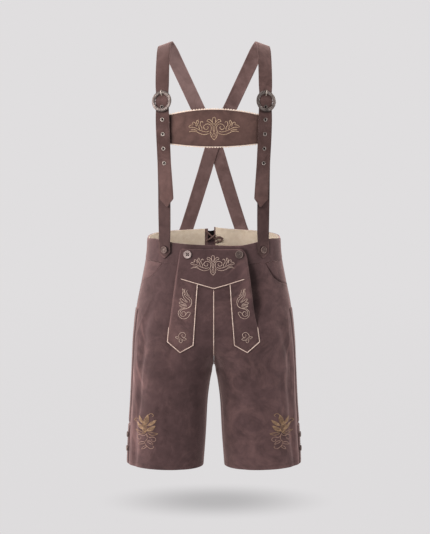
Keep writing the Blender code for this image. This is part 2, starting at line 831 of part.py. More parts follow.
def chest_point(x, z, out):
    y = chest_line(x, CHEST_Y)
    slope = 2 * (CHEST_Y[1] - CHEST_Y[0]) * x / BRACE_X ** 2
    normal = Vector((slope, -1, 0)).normalized()
    return Vector((x, y, z)) + normal * out


def chest_strap():
    def bar_point(row, column, out):
        x = CHEST_END * column
        top, low = chest_line(x, CHEST_TOP), chest_line(x, CHEST_BOTTOM)
        return chest_point(x, top + (low - top) * row, out)

    half = CHEST_SUEDE / 2
    laid_grid("chest_strap", bar_point, spread(0, 1, 3), spread(-1, 1, 24), -half, half, "suede")
    trim_out = -half - SEAM
    for name, edge, way in (("chest_trim_top", CHEST_TOP, 1), ("chest_trim_low", CHEST_BOTTOM, -1)):
        def trim_point(row, column, out, edge=edge, way=way):
            x = TRIM_REACH * column
            z = chest_line(x, edge) + way * (TRIM_SHOWS - TRIM_WIDTH * row)
            return chest_point(x, z, out)

        laid_grid(name, trim_point, (0, 1), spread(-1, 1, 24), trim_out - TRIM_THICK, trim_out,
                  "piping")


# ---------------------------------------------------------------- metal and buttons


def turned(name, profile, kind, place, steps, closed=False):
    """A round piece: its profile (radius, height) is turned about its own Z."""
    cage = bmesh.new()
    points = [cage.verts.new((radius, 0, height)) for radius, height in profile]
    for near, far in zip(points, points[1:]):
        cage.edges.new((near, far))
    if closed:
        cage.edges.new((points[-1], points[0]))
    mesh = bpy.data.meshes.new(name)
    cage.to_mesh(mesh)
    cage.free()
    obj = add_object(name, mesh, kind, place)
    screw = obj.modifiers.new("turn", "SCREW")
    screw.steps = steps
    screw.render_steps = steps
    screw.use_merge_vertices = True
    screw.merge_threshold = 0.1 * MM
    return obj


def button(name, kind, place, radius):
    """A dished button with a raised rim, lying on the leather."""
    profile = [(row.radius * radius, row.height * MM) for row in BUTTON]
    return turned(name, profile, kind, place, 14)


def buckle(name, side, tracks):
    """A flat ring with a bar across its back, and its prong lying over the ring's top."""
    track, middle = tracks[side]
    lean = Matrix.Rotation(-math.atan(BUCKLE_LEAN), 4, "X")
    place = track.place(middle) @ Matrix.Translation((0, 0, BUCKLE_OUT)) @ lean
    mid, half = (BUCKLE_OUTER + BUCKLE_INNER) / 2, (BUCKLE_OUTER - BUCKLE_INNER) / 2
    section = []
    for step in range(8):
        angle = -math.tau * step / 8
        section.append((mid + half * math.cos(angle), BUCKLE_THICK / 2 * math.sin(angle)))
    ring = turned(f"buckle_{name}", section, "silver", place, 28, closed=True)
    cage = bmesh.new()
    across = (track.place(middle) @ Matrix.Translation((0, 0, BAR_OUT))
              @ Matrix.Rotation(math.radians(90), 4, "Y"))
    bmesh.ops.create_cone(cage, cap_ends=True, segments=8, radius1=BAR_RADIUS,
                          radius2=BAR_RADIUS, depth=2 * mid, matrix=across)
    boolean(ring, "UNION", hidden_cutter(f"bar_{name}", cage))
    prong(f"prong_{name}", track, middle)


def prong(name, track, middle):
    cuts = []
    for row in PRONG_ROUTE:
        cuts.append((track.place(middle + row.rise * MM), PRONG_WIDTH, row.out * MM))
    ribbon(name, cuts, PRONG_THICK, "silver")


def eyelets(tracks):
    """A ring on the brace's face with a barrel through its hole, from the buckle down."""
    profile = [(row.radius * MM, row.height * MM) for row in EYELET]
    for name, side in (("left", -1), ("right", 1)):
        for number, place in enumerate(eyelet_places(*tracks[side]), 1):
            turned(f"eyelet_{name}_{number}", profile[::-1], "silver", place, 12, closed=True)


def button_on_face(name, kind, x, z, out, radius, back=False):
    frame = tab_frame(x, z, x, z + 1 * MM, back)
    return button(name, kind, frame @ Matrix.Translation((0, 0, out)), radius)


def buttons():
    over_tab = LIFT + STRAP + SEAM
    over_flap = LIFT + FLAP_SUEDE + SEAM
    over_placket = LIFT + HEM_PLACKET.thickness * MM + SEAM
    for name, side in (("left", -1), ("right", 1)):
        button_on_face(f"strap_button_{name}", "silver", side * FRONT_TAB_X, STRAP_BUTTON_HEIGHT,
                       over_tab, STRAP_BUTTON)
        back_x = side * (BACK_TAB_TOP[0] + BACK_TAB_POINT[0]) / 2
        button_on_face(f"back_button_{name}", "silver", back_x, BACK_BUTTON_HEIGHT, over_tab,
                       STRAP_BUTTON, back=True)
        kind = "horn" if side < 0 else "silver"
        button_on_face(f"flap_button_{name}", kind, side * FLAP_BUTTON_X, FLAP_BUTTON_HEIGHT,
                       over_flap, FLAP_BUTTON)
        for number, height in enumerate(HEM_BUTTON_HEIGHTS, 1):
            seat = seat_frame(skin(side, HEM_BUTTON_TURN, height, over_placket),
                              skin(side, HEM_BUTTON_TURN, height + 1 * MM, over_placket),
                              skin(side, HEM_BUTTON_TURN, height, over_placket + 1 * MM))
            button(f"hem_button_{name}_{number}", "silver", seat, HEM_BUTTON)


# ---------------------------------------------------------------- lace


def cord(name, points, thickness):
    curve = bpy.data.curves.new(name, "CURVE")
    curve.dimensions = "3D"
    curve.bevel_depth = thickness / 2
    curve.bevel_resolution = 1
    curve.use_fill_caps = True
    spline = curve.splines.new("POLY")
    spline.points.add(len(points) - 1)
    for target, point in zip(spline.points, points):
        target.co = (*point, 1)
    curve.materials.append(finish("lace"))
    obj = bpy.data.objects.new(name, curve)
    PARTS.objects.link(obj)
    return obj


def lace_run(name, start, end, rest, bulge):
    """A run of lace over the slot between (x, z) points, bulging clear of the other run."""
    points = []
    for step in range(9):
        part = step / 8
        x, z = start[0] + (end[0] - start[0]) * part, start[1] + (end[1] - start[1]) * part
        points.append(on_face(x, z, rest + bulge * math.sin(math.pi * part) ** 2, back=True))
    cord(name, points, LACE)


def lace():
    """Two crossed runs inside the slot and two outside, and the end's loop inside."""
    left, right = SLOT_LEFT - LACE_HOLD, SLOT_RIGHT + LACE_HOLD
    lining_face = -SUEDE - SEAM - LINING
    inside = lining_face - SEAM - LACE / 2
    outside = SEAM + LACE / 2
    step_over = LACE + SEAM
    for name, rest, over in (("inner", inside, -step_over), ("outer", outside, step_over)):
        lace_run(f"lace_{name}_falling", (left, LACE_HIGH), (right, LACE_LOW), rest, 0.0)
        lace_run(f"lace_{name}_rising", (left, LACE_LOW), (right, LACE_HIGH), rest, over)
    points = []
    for turn in spread(195, -125, 18):
        angle = math.radians(turn)
        x = BOW_MIDDLE[0] + BOW_REACH[0] * math.cos(angle)
        z = BOW_MIDDLE[1] + BOW_REACH[1] * math.sin(angle)
        points.append(on_face(x, z, lining_face - SEAM - BOW_CORD / 2, back=True))
    cord("lace_bow", points, BOW_CORD)


# ---------------------------------------------------------------- the garment

clear_scene()
PARTS = collection(NAME)
TOOLS = collection("cutters")

for half, way, slot_edge in (("left", -1, SLOT_LEFT), ("right", 1, SLOT_RIGHT)):
    front_panel(f"front_{half}", way)
    back_panel(f"back_{half}", way)
    under_front = -SUEDE - LIFT - POCKET_FACING.thickness * MM
    side_piece(f"pocket_facing_{half}", way, POCKET_FACING, under_front)
    side_piece(f"side_welt_{half}", way, SIDE_WELT, LIFT)
    side_piece(f"hem_placket_{half}", way, HEM_PLACKET, LIFT)
    waistband(f"waistband_{half}", way, slot_edge)
    waist_lining(f"waist_lining_{half}", way, slot_edge)
    flap_tab(f"flap_tab_{half}", way)
back_gusset()
flap_yoke()
pipings()
fly_piping()
lower_straps()
chest_strap()
brace_tracks = braces()
for half, way in (("left", -1), ("right", 1)):
    buckle(half, way, brace_tracks)
eyelets(brace_tracks)
buttons()
lace()
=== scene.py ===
"""Looks of the short leather breeches with braces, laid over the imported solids.

Millimetres in the tables and shapes, metres in the finished meshes. +Z is up and the front
looks along -Y. Side is the sign of X; turn runs round a leg: 0 inseam, 90 front, 180 side
seam, 270 back.
"""

import math
import random
from collections import namedtuple

import bmesh
import bpy
import numpy as np
from mathutils import Matrix, Vector


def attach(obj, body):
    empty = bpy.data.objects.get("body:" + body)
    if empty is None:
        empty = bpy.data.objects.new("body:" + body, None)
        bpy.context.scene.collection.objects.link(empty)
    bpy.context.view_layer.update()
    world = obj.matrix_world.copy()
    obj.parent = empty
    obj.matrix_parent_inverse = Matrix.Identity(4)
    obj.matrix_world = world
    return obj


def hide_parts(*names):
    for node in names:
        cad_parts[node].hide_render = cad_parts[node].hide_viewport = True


MM = 0.001
SIDES = (("left", -1), ("right", 1))
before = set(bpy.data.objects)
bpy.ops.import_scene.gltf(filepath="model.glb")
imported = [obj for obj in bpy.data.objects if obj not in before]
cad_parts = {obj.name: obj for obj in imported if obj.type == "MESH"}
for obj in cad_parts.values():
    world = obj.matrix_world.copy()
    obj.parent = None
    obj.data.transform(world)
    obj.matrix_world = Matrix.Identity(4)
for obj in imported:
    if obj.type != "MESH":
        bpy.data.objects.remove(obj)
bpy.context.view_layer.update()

# ---------------------------------------------------------------- tables of the cut

WAIST, BAND_SEAM, HEM, CROTCH = -460, -508, -1008, -765.5
SUEDE, FLAP_SUEDE, STRAP, LINING, SEAM, LIFT = 2.0, 1.8, 2.2, 1.1, 0.3, 0.4

Section = namedtuple("Section", "height half_width leg_centre front back squareness")
SECTIONS = (
    Section(-460, 159.0, 0, 114, 113, 2.30),
    Section(-500, 161.5, 0, 117, 119, 2.30),
    Section(-568, 174.0, 0, 121, 131, 2.28),
    Section(-627, 185.5, 8, 123, 138, 2.26),
    Section(-700, 193.0, 52, 121, 137, 2.22),
    Section(-740, 195.0, 86, 118, 132, 2.14),
    Section(-765.5, 196.2, 98.25, 115, 127, 2.12),
    Section(-785, 197.1, 100.9, 113, 123, 2.11),
    Section(-805, 198.0, 103.4, 111, 119, 2.10),
    Section(-850, 200.2, 107.4, 107, 113, 2.10),
    Section(-930, 205.5, 112.3, 101, 106, 2.10),
    Section(-1008, 209.0, 117.0, 96, 100, 2.10),
)

Fold = namedtuple("Fold", "side turn top bottom spread depth")
FOLDS = (
    Fold(1, 143, -620, -1010, 6.5, -3.4),
    Fold(1, 156, -680, -1010, 6.0, 1.1),
    Fold(1, 60, -800, -1010, 9.0, -2.6),
    Fold(1, 215, -640, -1010, 9.0, -3.6),
    Fold(1, 292, -700, -960, 10.0, -3.0),
    Fold(-1, 141, -600, -1010, 6.0, -3.8),
    Fold(-1, 154, -700, -1010, 6.5, 1.0),
    Fold(-1, 66, -820, -1010, 8.0, -2.4),
    Fold(-1, 220, -660, -1010, 8.0, -3.2),
    Fold(-1, 286, -720, -980, 11.0, -3.4),
)

# Soft troughs (depth under 0) and ridges, each along a line from (turn, height) to another.
Crease = namedtuple("Crease", "side turn_from from_height turn_to to_height spread depth")
CREASES = (
    Crease(-1, 36, -742, 96, -700, 9, -1.6),
    Crease(1, 34, -744, 98, -706, 9, -1.7),
    Crease(-1, 30, -772, 104, -792, 12, -1.3),
    Crease(1, 28, -770, 100, -800, 12, -1.5),
    Crease(-1, 60, -700, 128, -640, 14, 1.1),
    Crease(1, 64, -704, 126, -650, 13, 1.0),
    Crease(-1, 128, -560, 170, -628, 13, -1.4),
    Crease(1, 132, -600, 172, -640, 12, -1.6),
    Crease(-1, 120, -650, 168, -700, 16, 1.2),
    Crease(1, 118, -664, 170, -726, 15, 1.2),
    Crease(-1, 96, -820, 150, -868, 18, -1.0),
    Crease(1, 84, -850, 146, -880, 18, 1.0),
    Crease(-1, 50, -880, 120, -930, 20, 0.9),
    Crease(1, 56, -910, 118, -950, 20, -0.9),
    Crease(-1, 124, -700, 132, -900, 8, -1.0),
    Crease(1, 128, -720, 122, -930, 8, -1.1),
    Crease(-1, 108, -860, 112, -1004, 9, 0.9),
    Crease(1, 104, -840, 108, -1004, 9, 0.8),
    Crease(-1, 196, -560, 250, -640, 16, -2.0),
    Crease(1, 198, -566, 252, -654, 16, -1.8),
    Crease(-1, 300, -760, 236, -800, 12, -2.4),
    Crease(1, 302, -758, 240, -806, 12, -2.1),
    Crease(-1, 310, -790, 244, -850, 14, -1.8),
    Crease(1, 308, -794, 246, -842, 14, -2.0),
    Crease(-1, 262, -600, 284, -720, 15, 1.6),
    Crease(1, 258, -610, 286, -726, 15, 1.4),
    Crease(-1, 240, -900, 300, -930, 18, -1.2),
    Crease(1, 236, -880, 298, -916, 18, -1.3),
    Crease(-1, 14, -790, 8, -930, 10, -1.2),
    Crease(1, 12, -800, 16, -940, 10, -1.3),
    Crease(-1, 150, -640, 160, -700, 4, 0.9),
    Crease(-1, 156, -690, 148, -760, 4, 0.9),
    Crease(-1, 160, -740, 150, -820, 4, 1.1),
    Crease(-1, 142, -600, 152, -660, 4, 0.7),
    Crease(-1, 162, -820, 152, -880, 4, 0.9),
    Crease(-1, 160, -890, 163, -990, 3, -1.1),
    Crease(-1, 152, -900, 150, -990, 4, 0.9),
    Crease(-1, 144, -930, 146, -1004, 4, -0.8),
    Crease(1, 158, -640, 150, -720, 4, 0.9),
    Crease(1, 148, -730, 142, -820, 4, 0.9),
    Crease(1, 160, -760, 152, -850, 4, 1.0),
    Crease(1, 160, -880, 162, -990, 3, -1.0),
    Crease(1, 152, -870, 149, -980, 4, 0.8),
    Crease(-1, 100, -466, 106, -504, 5, -0.5),
    Crease(1, 122, -462, 117, -504, 6, -0.7),
    Crease(-1, 140, -464, 143, -506, 6, 0.6),
    Crease(1, 150, -464, 147, -506, 7, -0.7),
)
DEGREE_LENGTH = 2.3

Strip = namedtuple("Strip", "first_turn last_turn top bottom thickness")
POCKET_FACING = Strip(129, 179.9, -509, -598, 1.4)
SIDE_WELT = Strip(165, 178, -629, -905, 1.4)
HEM_PLACKET = Strip(163, 179, -912, -1007, 1.6)
POCKET_EDGE = ((135, -508), (142.5, -533), (150, -548), (157.5, -556), (165, -561),
               (172.5, -565), (180, -568))
POCKET_BLEND = -640

FLAP_TOP, FLAP_CORNER, FLAP_TOP_WIDTH = -480, 8, 79
V_MIDDLE, V_SIDE, V_SIDE_X = -572.0, -547.0, 90
TAB_INNER_TOP = 37.5
TAB_INNER_LOW, TAB_POINT, TAB_OUTER_LOW = (49.0, -706.5), (79.0, -725.0), (110.0, -699.0)
TAB_PIPING_START, PIPING_INSET = (107.0, -664.0), 1.6
FLY_TOP, FLY_END = -574.7, -737

SLOT_LEFT, SLOT_RIGHT, GUSSET_TOP, GUSSET_DIP, GUSSET_END = -22, 4, -450.5, 3, -496
LACE = 3.9
BOW_MIDDLE, BOW_REACH, BOW_CORD = (12.6, -473.5), (7.2, 5.2), 5.0

Station = namedtuple("Station", "x y z nx ny nz")
BRACE_PATH = (
    Station(107.3, -96.4, -381, 0.30, -0.95, 0.00),
    Station(109.8, -96.2, -340, 0.36, -0.93, 0.00),
    Station(114.0, -95.7, -285, 0.39, -0.92, 0.00),
    Station(117.4, -95.9, -215, 0.375, -0.927, 0.00),
    Station(118.9, -95.6, -170, 0.375, -0.927, 0.02),
    Station(119.8, -94.5, -136.5, 0.375, -0.925, 0.08),
    Station(120.2, -88.0, -102, 0.375, -0.90, 0.22),
    Station(120.0, -74.0, -66, 0.365, -0.80, 0.45),
    Station(119.2, -53.0, -36.4, 0.36, -0.60, 0.70),
    Station(118.2, -28.0, -14.6, 0.35, -0.34, 0.87),
    Station(115.8, 0.0, -1.2, 0.33, 0.00, 0.94),
    Station(110.0, 22.0, -6.4, 0.33, 0.30, 0.89),
    Station(99.6, 45.0, -24, 0.32, 0.55, 0.77),
    Station(85.2, 71.0, -55, 0.30, 0.75, 0.50),
    Station(64.2, 92.0, -100, 0.22, 0.88, 0.30),
    Station(36.2, 108.0, -160, 0.10, 0.98, 0.12),
    Station(0.0, 116.5, -236, 0.00, 1.00, 0.00),
    Station(-26.2, 119.0, -320, -0.10, 0.99, 0.00),
    Station(-51.0, 116.5, -400, -0.20, 0.98, 0.00),
    Station(-64.5, 111.8, -442, -0.28, 0.96, 0.00),
)
LOWER_PATH = (
    Station(115.3, -92.5, -445, 0.50, -0.86, 0.00),
    Station(115.6, -92.8, -400, 0.44, -0.90, 0.00),
    Station(116.6, -94.2, -300, 0.38, -0.92, 0.00),
    Station(118.1, -95.6, -215, 0.375, -0.927, 0.00),
    Station(118.9, -95.6, -170, 0.375, -0.927, 0.02),
    Station(119.8, -94.5, -136.5, 0.375, -0.925, 0.08),
)
# The brace's way through the buckle: rise up the brace from the buckle's middle, out, width.
WEAVE = (
    (-246, 7.6, 34.5), (-215, 5.4, 34.5), (-170, 3.6, 34.5), (-110, 2.8, 34.5),
    (-44, 2.6, 34.5), (-30, 2.6, 33.5), (-19, 2.55, 32.0), (-7.4, 2.5, 32.0), (-4.7, 3.7, 32.0),
    (-2.3, 5.1, 32.0), (0, 5.4, 32.0), (2.5, 5.1, 32.0), (6, 3.2, 32.0), (10.1, 1.1, 32.0),
    (16, 0.5, 32.0), (24, 0.4, 32.5), (36, 0.2, 34.0), (50, 0.0, 34.5), (190, 0.0, 34.5),
    (240, 0.0, 33.0),
)
PRONG_ROUTE = ((12.4, 0.6), (13.6, 3.6), (16.5, 6.6), (19.5, 7.8), (23.5, 8.0), (25.4, 7.4))
EYELET_DROPS = (12.9, 42.5, 76.3, 110.0, 144.0)
BRACE_WIDTH, LOWER_WIDTH, BRACE_POINT, BLUNT = 34.5, 32.0, 17, 4
BUCKLE_HEIGHT, BUCKLE_OUTER, BUCKLE_INNER, BUCKLE_THICK = -136.5, 24.5, 18.5, 3.2
BUCKLE_OUT, BUCKLE_LEAN, BAR_OUT, BAR_RADIUS = 5.0, 0.0571, 2.7, 1.3
FRONT_TAB_X, FRONT_TAB_POINT, FRONT_TAB_SHOULDER, FRONT_TAB_TOP = 115, -503.5, -491.5, -466
BACK_TAB_POINT, BACK_TAB_TOP = (-83, -497), (-68.5, -456)
STRAP_BUTTON, FLAP_BUTTON, HEM_BUTTON = 8.2, 9.5, 6.8
CHEST_END, CHEST_TOP, CHEST_BOTTOM = 131, (-155.4, -172.2), (-241.2, -232.0)
CHEST_Y, CHEST_BRACE_X, CHEST_SUEDE = (-116.4, -92.4), 118, 1.8
TRIM_REACH, TRIM_WIDTH, TRIM_SHOWS, TRIM_THICK = 126, 8, 2.6, 0.9

# ---------------------------------------------------------------- the form under every piece


def rows_at(rows, at):
    """The columns of a table between its rows, by a smooth cubic on the first column."""
    table = np.array(rows, float)
    if table[0, 0] > table[-1, 0]:
        table = table[::-1]
    last = len(table) - 1
    at = np.clip(np.asarray(at, float), table[0, 0], table[-1, 0])
    spot = np.clip(np.searchsorted(table[:, 0], at, "right") - 1, 0, last - 1)
    low, high = table[spot], table[spot + 1]
    before, after = table[np.maximum(spot - 1, 0)], table[np.minimum(spot + 2, last)]
    span = (high - low)[..., :1]
    part = (at - low[..., 0])[..., None] / span
    start = (high - before) / (high - before)[..., :1] * span
    end = (after - low) / (after - low)[..., :1] * span
    mixed = (2 * part ** 3 - 3 * part ** 2 + 1) * low + (3 * part ** 2 - 2 * part ** 3) * high
    mixed += (part ** 3 - 2 * part ** 2 + part) * start + (part ** 3 - part ** 2) * end
    return np.moveaxis(mixed[..., 1:], -1, 0)


def ease(value):
    value = np.clip(value, 0.0, 1.0)
    return value * value * (3 - 2 * value)


def signed_power(value, power):
    return np.sign(value) * np.abs(value) ** power


def bare(turn, height):
    """The +X half's face without folds."""
    turn, height = np.broadcast_arrays(np.asarray(turn, float), np.asarray(height, float))
    half_width, centre, front, back, squareness = rows_at(SECTIONS, height)
    centre = np.maximum(centre, 0.0)
    angle, power = np.radians(turn), 2 / squareness
    x = centre - (half_width - centre) * signed_power(np.cos(angle), power)
    y = -np.where(turn <= 180, front, back) * signed_power(np.sin(angle), power)
    tilt = 0.095 * ease((height + 620) / 160)
    rise = 0.03 * ease((-850 - height) / 158)
    return np.stack((x, y, height + tilt * y + rise * (x - 117)), -1)


def fold_depth(side, turn, height):
    total = np.zeros(np.broadcast(side, turn, height).shape)
    for fold in FOLDS:
        fade = ease((fold.top - height) / 60) * ease((height - fold.bottom + 30) / 60)
        wander = 2.4 * np.sin(height / 47 + fold.turn) + 1.2 * np.sin(height / 19 + 2 * fold.turn)
        across = np.exp(-((turn - fold.turn - wander) / fold.spread) ** 2)
        total = total + fold.depth * across * fade * (side == fold.side)
    for crease in CREASES:
        run = np.array(((crease.turn_to - crease.turn_from) * DEGREE_LENGTH,
                        crease.to_height - crease.from_height), float)
        right = (turn - crease.turn_from) * DEGREE_LENGTH
        up = height - crease.from_height
        share = np.clip((right * run[0] + up * run[1]) / (run @ run), 0, 1)
        away = np.hypot(right - share * run[0], up - share * run[1])
        swell = 0.25 + 0.75 * np.sin(np.pi * share)
        total = total + (crease.depth * np.exp(-(away / crease.spread) ** 2) * swell
                         * (side == crease.side))
    return total


def skin(side, turn, height, out=0.0):
    """Points at a distance out from the leather's face, folds and creases included."""
    side, turn, height = np.broadcast_arrays(side, np.asarray(turn, float),
                                             np.asarray(height, float))
    along = bare(turn + 0.4, height) - bare(turn - 0.4, height)
    up = bare(turn, height + 1.5) - bare(turn, height - 1.5)
    normal = np.cross(along, up)
    normal /= np.linalg.norm(normal, axis=-1, keepdims=True)
    depth = out + fold_depth(side, turn, height)
    point = bare(turn, height) + normal * depth[..., None]
    point[..., 0] *= side
    return point


def turn_at(x, height, back=False):
    """The turn at which the section at this height has this distance from the middle."""
    half_width, centre, _, _, squareness = rows_at(SECTIONS, height)
    centre = np.maximum(centre, 0.0)
    share = np.clip((centre - x) / (half_width - centre), -1, 1)
    turn = np.degrees(np.arccos(np.clip(signed_power(share, squareness / 2), -1, 1)))
    return 360 - turn if back else turn


def on_face(x, z, out=0.0, back=False):
    """The points of the front or back with this signed x and true height z."""
    x, z = np.broadcast_arrays(np.asarray(x, float), np.asarray(z, float))
    side = np.where(x < 0, -1, 1)
    height = z.copy()
    for _ in range(4):
        turn = turn_at(np.abs(x), height, back)
        height = height + z - skin(side, turn, height)[..., 2]
    return skin(side, turn, height, out)


def chest_line(x, ends):
    return ends[0] + (ends[1] - ends[0]) * (x / CHEST_BRACE_X) ** 2


def on_chest(x, z, out=0.0):
    """The points of the chest strap with this x and z, out from the middle of its leather."""
    x, z = np.broadcast_arrays(np.asarray(x, float), np.asarray(z, float))
    slope = 2 * (CHEST_Y[1] - CHEST_Y[0]) * x / CHEST_BRACE_X ** 2
    normal = np.stack((slope, -np.ones_like(x), np.zeros_like(x)), -1)
    normal /= np.linalg.norm(normal, axis=-1, keepdims=True)
    return np.stack((x, chest_line(x, CHEST_Y), z), -1) + normal * np.asarray(out)[..., None]


def line(start, end, count):
    return np.linspace(np.array(start, float), np.array(end, float), count + 1)


# ---------------------------------------------------------------- finishes


def linear(code):
    """An sRGB hex colour as linear light."""
    parts = [int(code[spot:spot + 2], 16) / 255 for spot in (0, 2, 4)]
    return (*[p / 12.92 if p <= 0.04045 else ((p + 0.055) / 1.055) ** 2.4 for p in parts], 1.0)


def add(tree, kind, settings=None, feeds=None):
    """Adds one node with its settings, and links outputs into its named sockets."""
    made = tree.nodes.new("ShaderNode" + kind)
    for name, value in (settings or {}).items():
        if isinstance(name, str) and hasattr(made, name):
            setattr(made, name, value)
        else:
            made.inputs[name].default_value = value
    for name, source in (feeds or {}).items():
        tree.links.new(source, made.inputs[name])
    return made


def finish(name, **fixed):
    """A new Principled finish: its tree, its shader and its piece coordinates."""
    material = bpy.data.materials.new(name)
    material.use_nodes = True
    tree = material.node_tree
    shader = tree.nodes["Principled BSDF"]
    for socket, value in fixed.items():
        shader.inputs[socket.replace("_", " ")].default_value = value
    return material, tree, shader, add(tree, "TexCoord").outputs


def suede(name, dark, light, wear_and_highlight_colour, sheen=0.8):
    """Brushed split leather. Clouds of nap brushed light and dark, paler patches strongest where the
    piece's wear-and-highlight mark is high (partly rubbed wear, partly painted highlight), painted
    shade where it lies in a hollow or under an edge (its shade mark), a short matt pile with a pale
    sheen at grazing angles, no gloss."""
    material, tree, shader, coords = finish(
        name, Roughness=0.92, Sheen_Weight=sheen, Sheen_Roughness=0.38,
        Sheen_Tint=linear("E2C2BC"), Specular_IOR_Level=0.12)
    place = coords["Object"]
    clouds = add(tree, "TexNoise", {"Scale": 16, "Detail": 4, "Roughness": 0.6}, {"Vector": place})
    strokes = add(tree, "TexNoise", {"Scale": 62, "Detail": 3, "Roughness": 0.5,
                                     "Distortion": 0.6}, {"Vector": place})
    pile = add(tree, "TexNoise", {"Scale": 1300, "Detail": 3, "Roughness": 0.7}, {"Vector": place})
    tone = add(tree, "Math", {"operation": "MULTIPLY_ADD", 1: 1.5},
               {0: clouds.outputs[0], 2: strokes.outputs[0]})
    tone = add(tree, "Math", {"operation": "MULTIPLY_ADD", 1: 0.5},
               {0: pile.outputs[0], 2: tone.outputs[0]})
    spread = add(tree, "MapRange", {"From Min": 1.03, "From Max": 1.97}, {"Value": tone.outputs[0]})
    colour = add(tree, "Mix", {"data_type": "RGBA", 6: linear(dark), 7: linear(light)},
                 {0: spread.outputs[0]})
    patches = add(tree, "TexNoise", {"Scale": 14, "Detail": 6, "Roughness": 0.74,
                                     "Distortion": 1.1}, {"Vector": place})
    # Paler patches: noise plus the piece's mark, which is partly rubbed wear and partly painted
    # highlight.
    wear_and_highlight = add(tree, "Attribute", {"attribute_name": "wear_and_highlight"})
    wear_and_highlight = add(tree, "Math", {"operation": "MULTIPLY_ADD", 1: 0.3},
              {0: wear_and_highlight.outputs["Fac"], 2: patches.outputs[0]})
    wear = add(tree, "MapRange", {"From Min": 0.53, "From Max": 0.9, "To Max": 0.6},
               {"Value": wear_and_highlight.outputs[0]})
    worn_and_highlit = add(tree, "Mix", {"data_type": "RGBA", 7: linear(wear_and_highlight_colour)},
               {0: wear.outputs[0], 6: colour.outputs[2]})
    # Painted shade: the piece's shade mark darkens the colour towards near black.
    shade = add(tree, "Attribute", {"attribute_name": "shade"})
    shaded = add(tree, "Mix", {"data_type": "RGBA", 7: linear("0E0A0A")},
                 {0: shade.outputs["Fac"], 6: worn_and_highlit.outputs[2]})
    tree.links.new(shaded.outputs[2], shader.inputs["Base Color"])
    low = add(tree, "Bump", {"Strength": 0.35, "Distance": 0.0012}, {"Height": strokes.outputs[0]})
    fine = add(tree, "Bump", {"Strength": 0.55, "Distance": 0.00035},
               {"Height": pile.outputs[0], "Normal": low.outputs[0]})
    tree.links.new(fine.outputs[0], shader.inputs["Normal"])
    return material


def cotton(name, dark, light):
    """Plain-woven cotton lining. Matt, with threads 0.9 mm apart over and under."""
    material, tree, shader, coords = finish(name, Roughness=0.88, Sheen_Weight=0.25,
                                            Specular_IOR_Level=0.15)
    metric = add(tree, "Mapping", {"Scale": (1 / 0.0018, 1 / 0.0018, 1)}, {"Vector": coords["UV"]})
    weave = add(tree, "TexChecker", {"Scale": 1.0}, {"Vector": metric.outputs[0]})
    slubs = add(tree, "TexNoise", {"Scale": 90, "Detail": 5, "Roughness": 0.6},
                {"Vector": coords["Object"]})
    tone = add(tree, "Math", {"operation": "MULTIPLY_ADD", 1: 0.3},
               {0: weave.outputs["Fac"], 2: slubs.outputs[0]})
    spread = add(tree, "MapRange", {"From Min": 0.25, "From Max": 1.0}, {"Value": tone.outputs[0]})
    colour = add(tree, "Mix", {"data_type": "RGBA", 6: linear(dark), 7: linear(light)},
                 {0: spread.outputs[0]})
    # Painted shade from the piece's shade mark, towards dark brown.
    shade = add(tree, "Attribute", {"attribute_name": "shade"})
    colour = add(tree, "Mix", {"data_type": "RGBA", 7: linear("4A3F36")},
                 {0: shade.outputs["Fac"], 6: colour.outputs[2]})
    tree.links.new(colour.outputs[2], shader.inputs["Base Color"])
    bump = add(tree, "Bump", {"Strength": 0.3, "Distance": 0.0003}, {"Height": tone.outputs[0]})
    tree.links.new(bump.outputs[0], shader.inputs["Normal"])
    return material


def grained(name, dark, light, roughness, grain, metallic=0.0, depth=0.0003, coat=0.0,
            gloss=0.5):
    """One finish for kid leather, thread, horn and cast metal: a two-tone grain with relief,
    dark where the piece's shade mark says that it lies in a hollow."""
    material, tree, shader, coords = finish(name, Roughness=roughness, Metallic=metallic,
                                            Coat_Weight=coat, Coat_Roughness=0.3,
                                            Specular_IOR_Level=gloss)
    broad = add(tree, "TexNoise", {"Scale": grain / 6, "Detail": 3}, {"Vector": coords["Object"]})
    close = add(tree, "TexNoise", {"Scale": grain, "Detail": 4, "Roughness": 0.65},
                {"Vector": coords["Object"]})
    tone = add(tree, "Math", {"operation": "MULTIPLY_ADD", 1: 0.6},
               {0: close.outputs[0], 2: broad.outputs[0]})
    spread = add(tree, "MapRange", {"From Min": 0.55, "From Max": 1.05}, {"Value": tone.outputs[0]})
    colour = add(tree, "Mix", {"data_type": "RGBA", 6: linear(dark), 7: linear(light)},
                 {0: spread.outputs[0]})
    shade = add(tree, "Attribute", {"attribute_name": "shade"})
    colour = add(tree, "Mix", {"data_type": "RGBA", 7: linear("1A1413")},
                 {0: shade.outputs["Fac"], 6: colour.outputs[2]})
    tree.links.new(colour.outputs[2], shader.inputs["Base Color"])
    wear = add(tree, "MapRange", {"To Min": roughness + 0.14, "To Max": roughness - 0.1},
               {"Value": spread.outputs[0]})
    tree.links.new(wear.outputs[0], shader.inputs["Roughness"])
    bump = add(tree, "Bump", {"Strength": 0.5, "Distance": depth}, {"Height": close.outputs[0]})
    tree.links.new(bump.outputs[0], shader.inputs["Normal"])
    return material


BODY_SUEDE = suede("brushed_split_suede", "3D2E2E", "584343", "7C5F5C")
CHEST_STRAP_SUEDE = suede("chest_split_suede", "493733", "69504A", "80625A")
STRAP_SUEDE = suede("strap_split_suede", "42302D", "5B4643", "7A5E59")
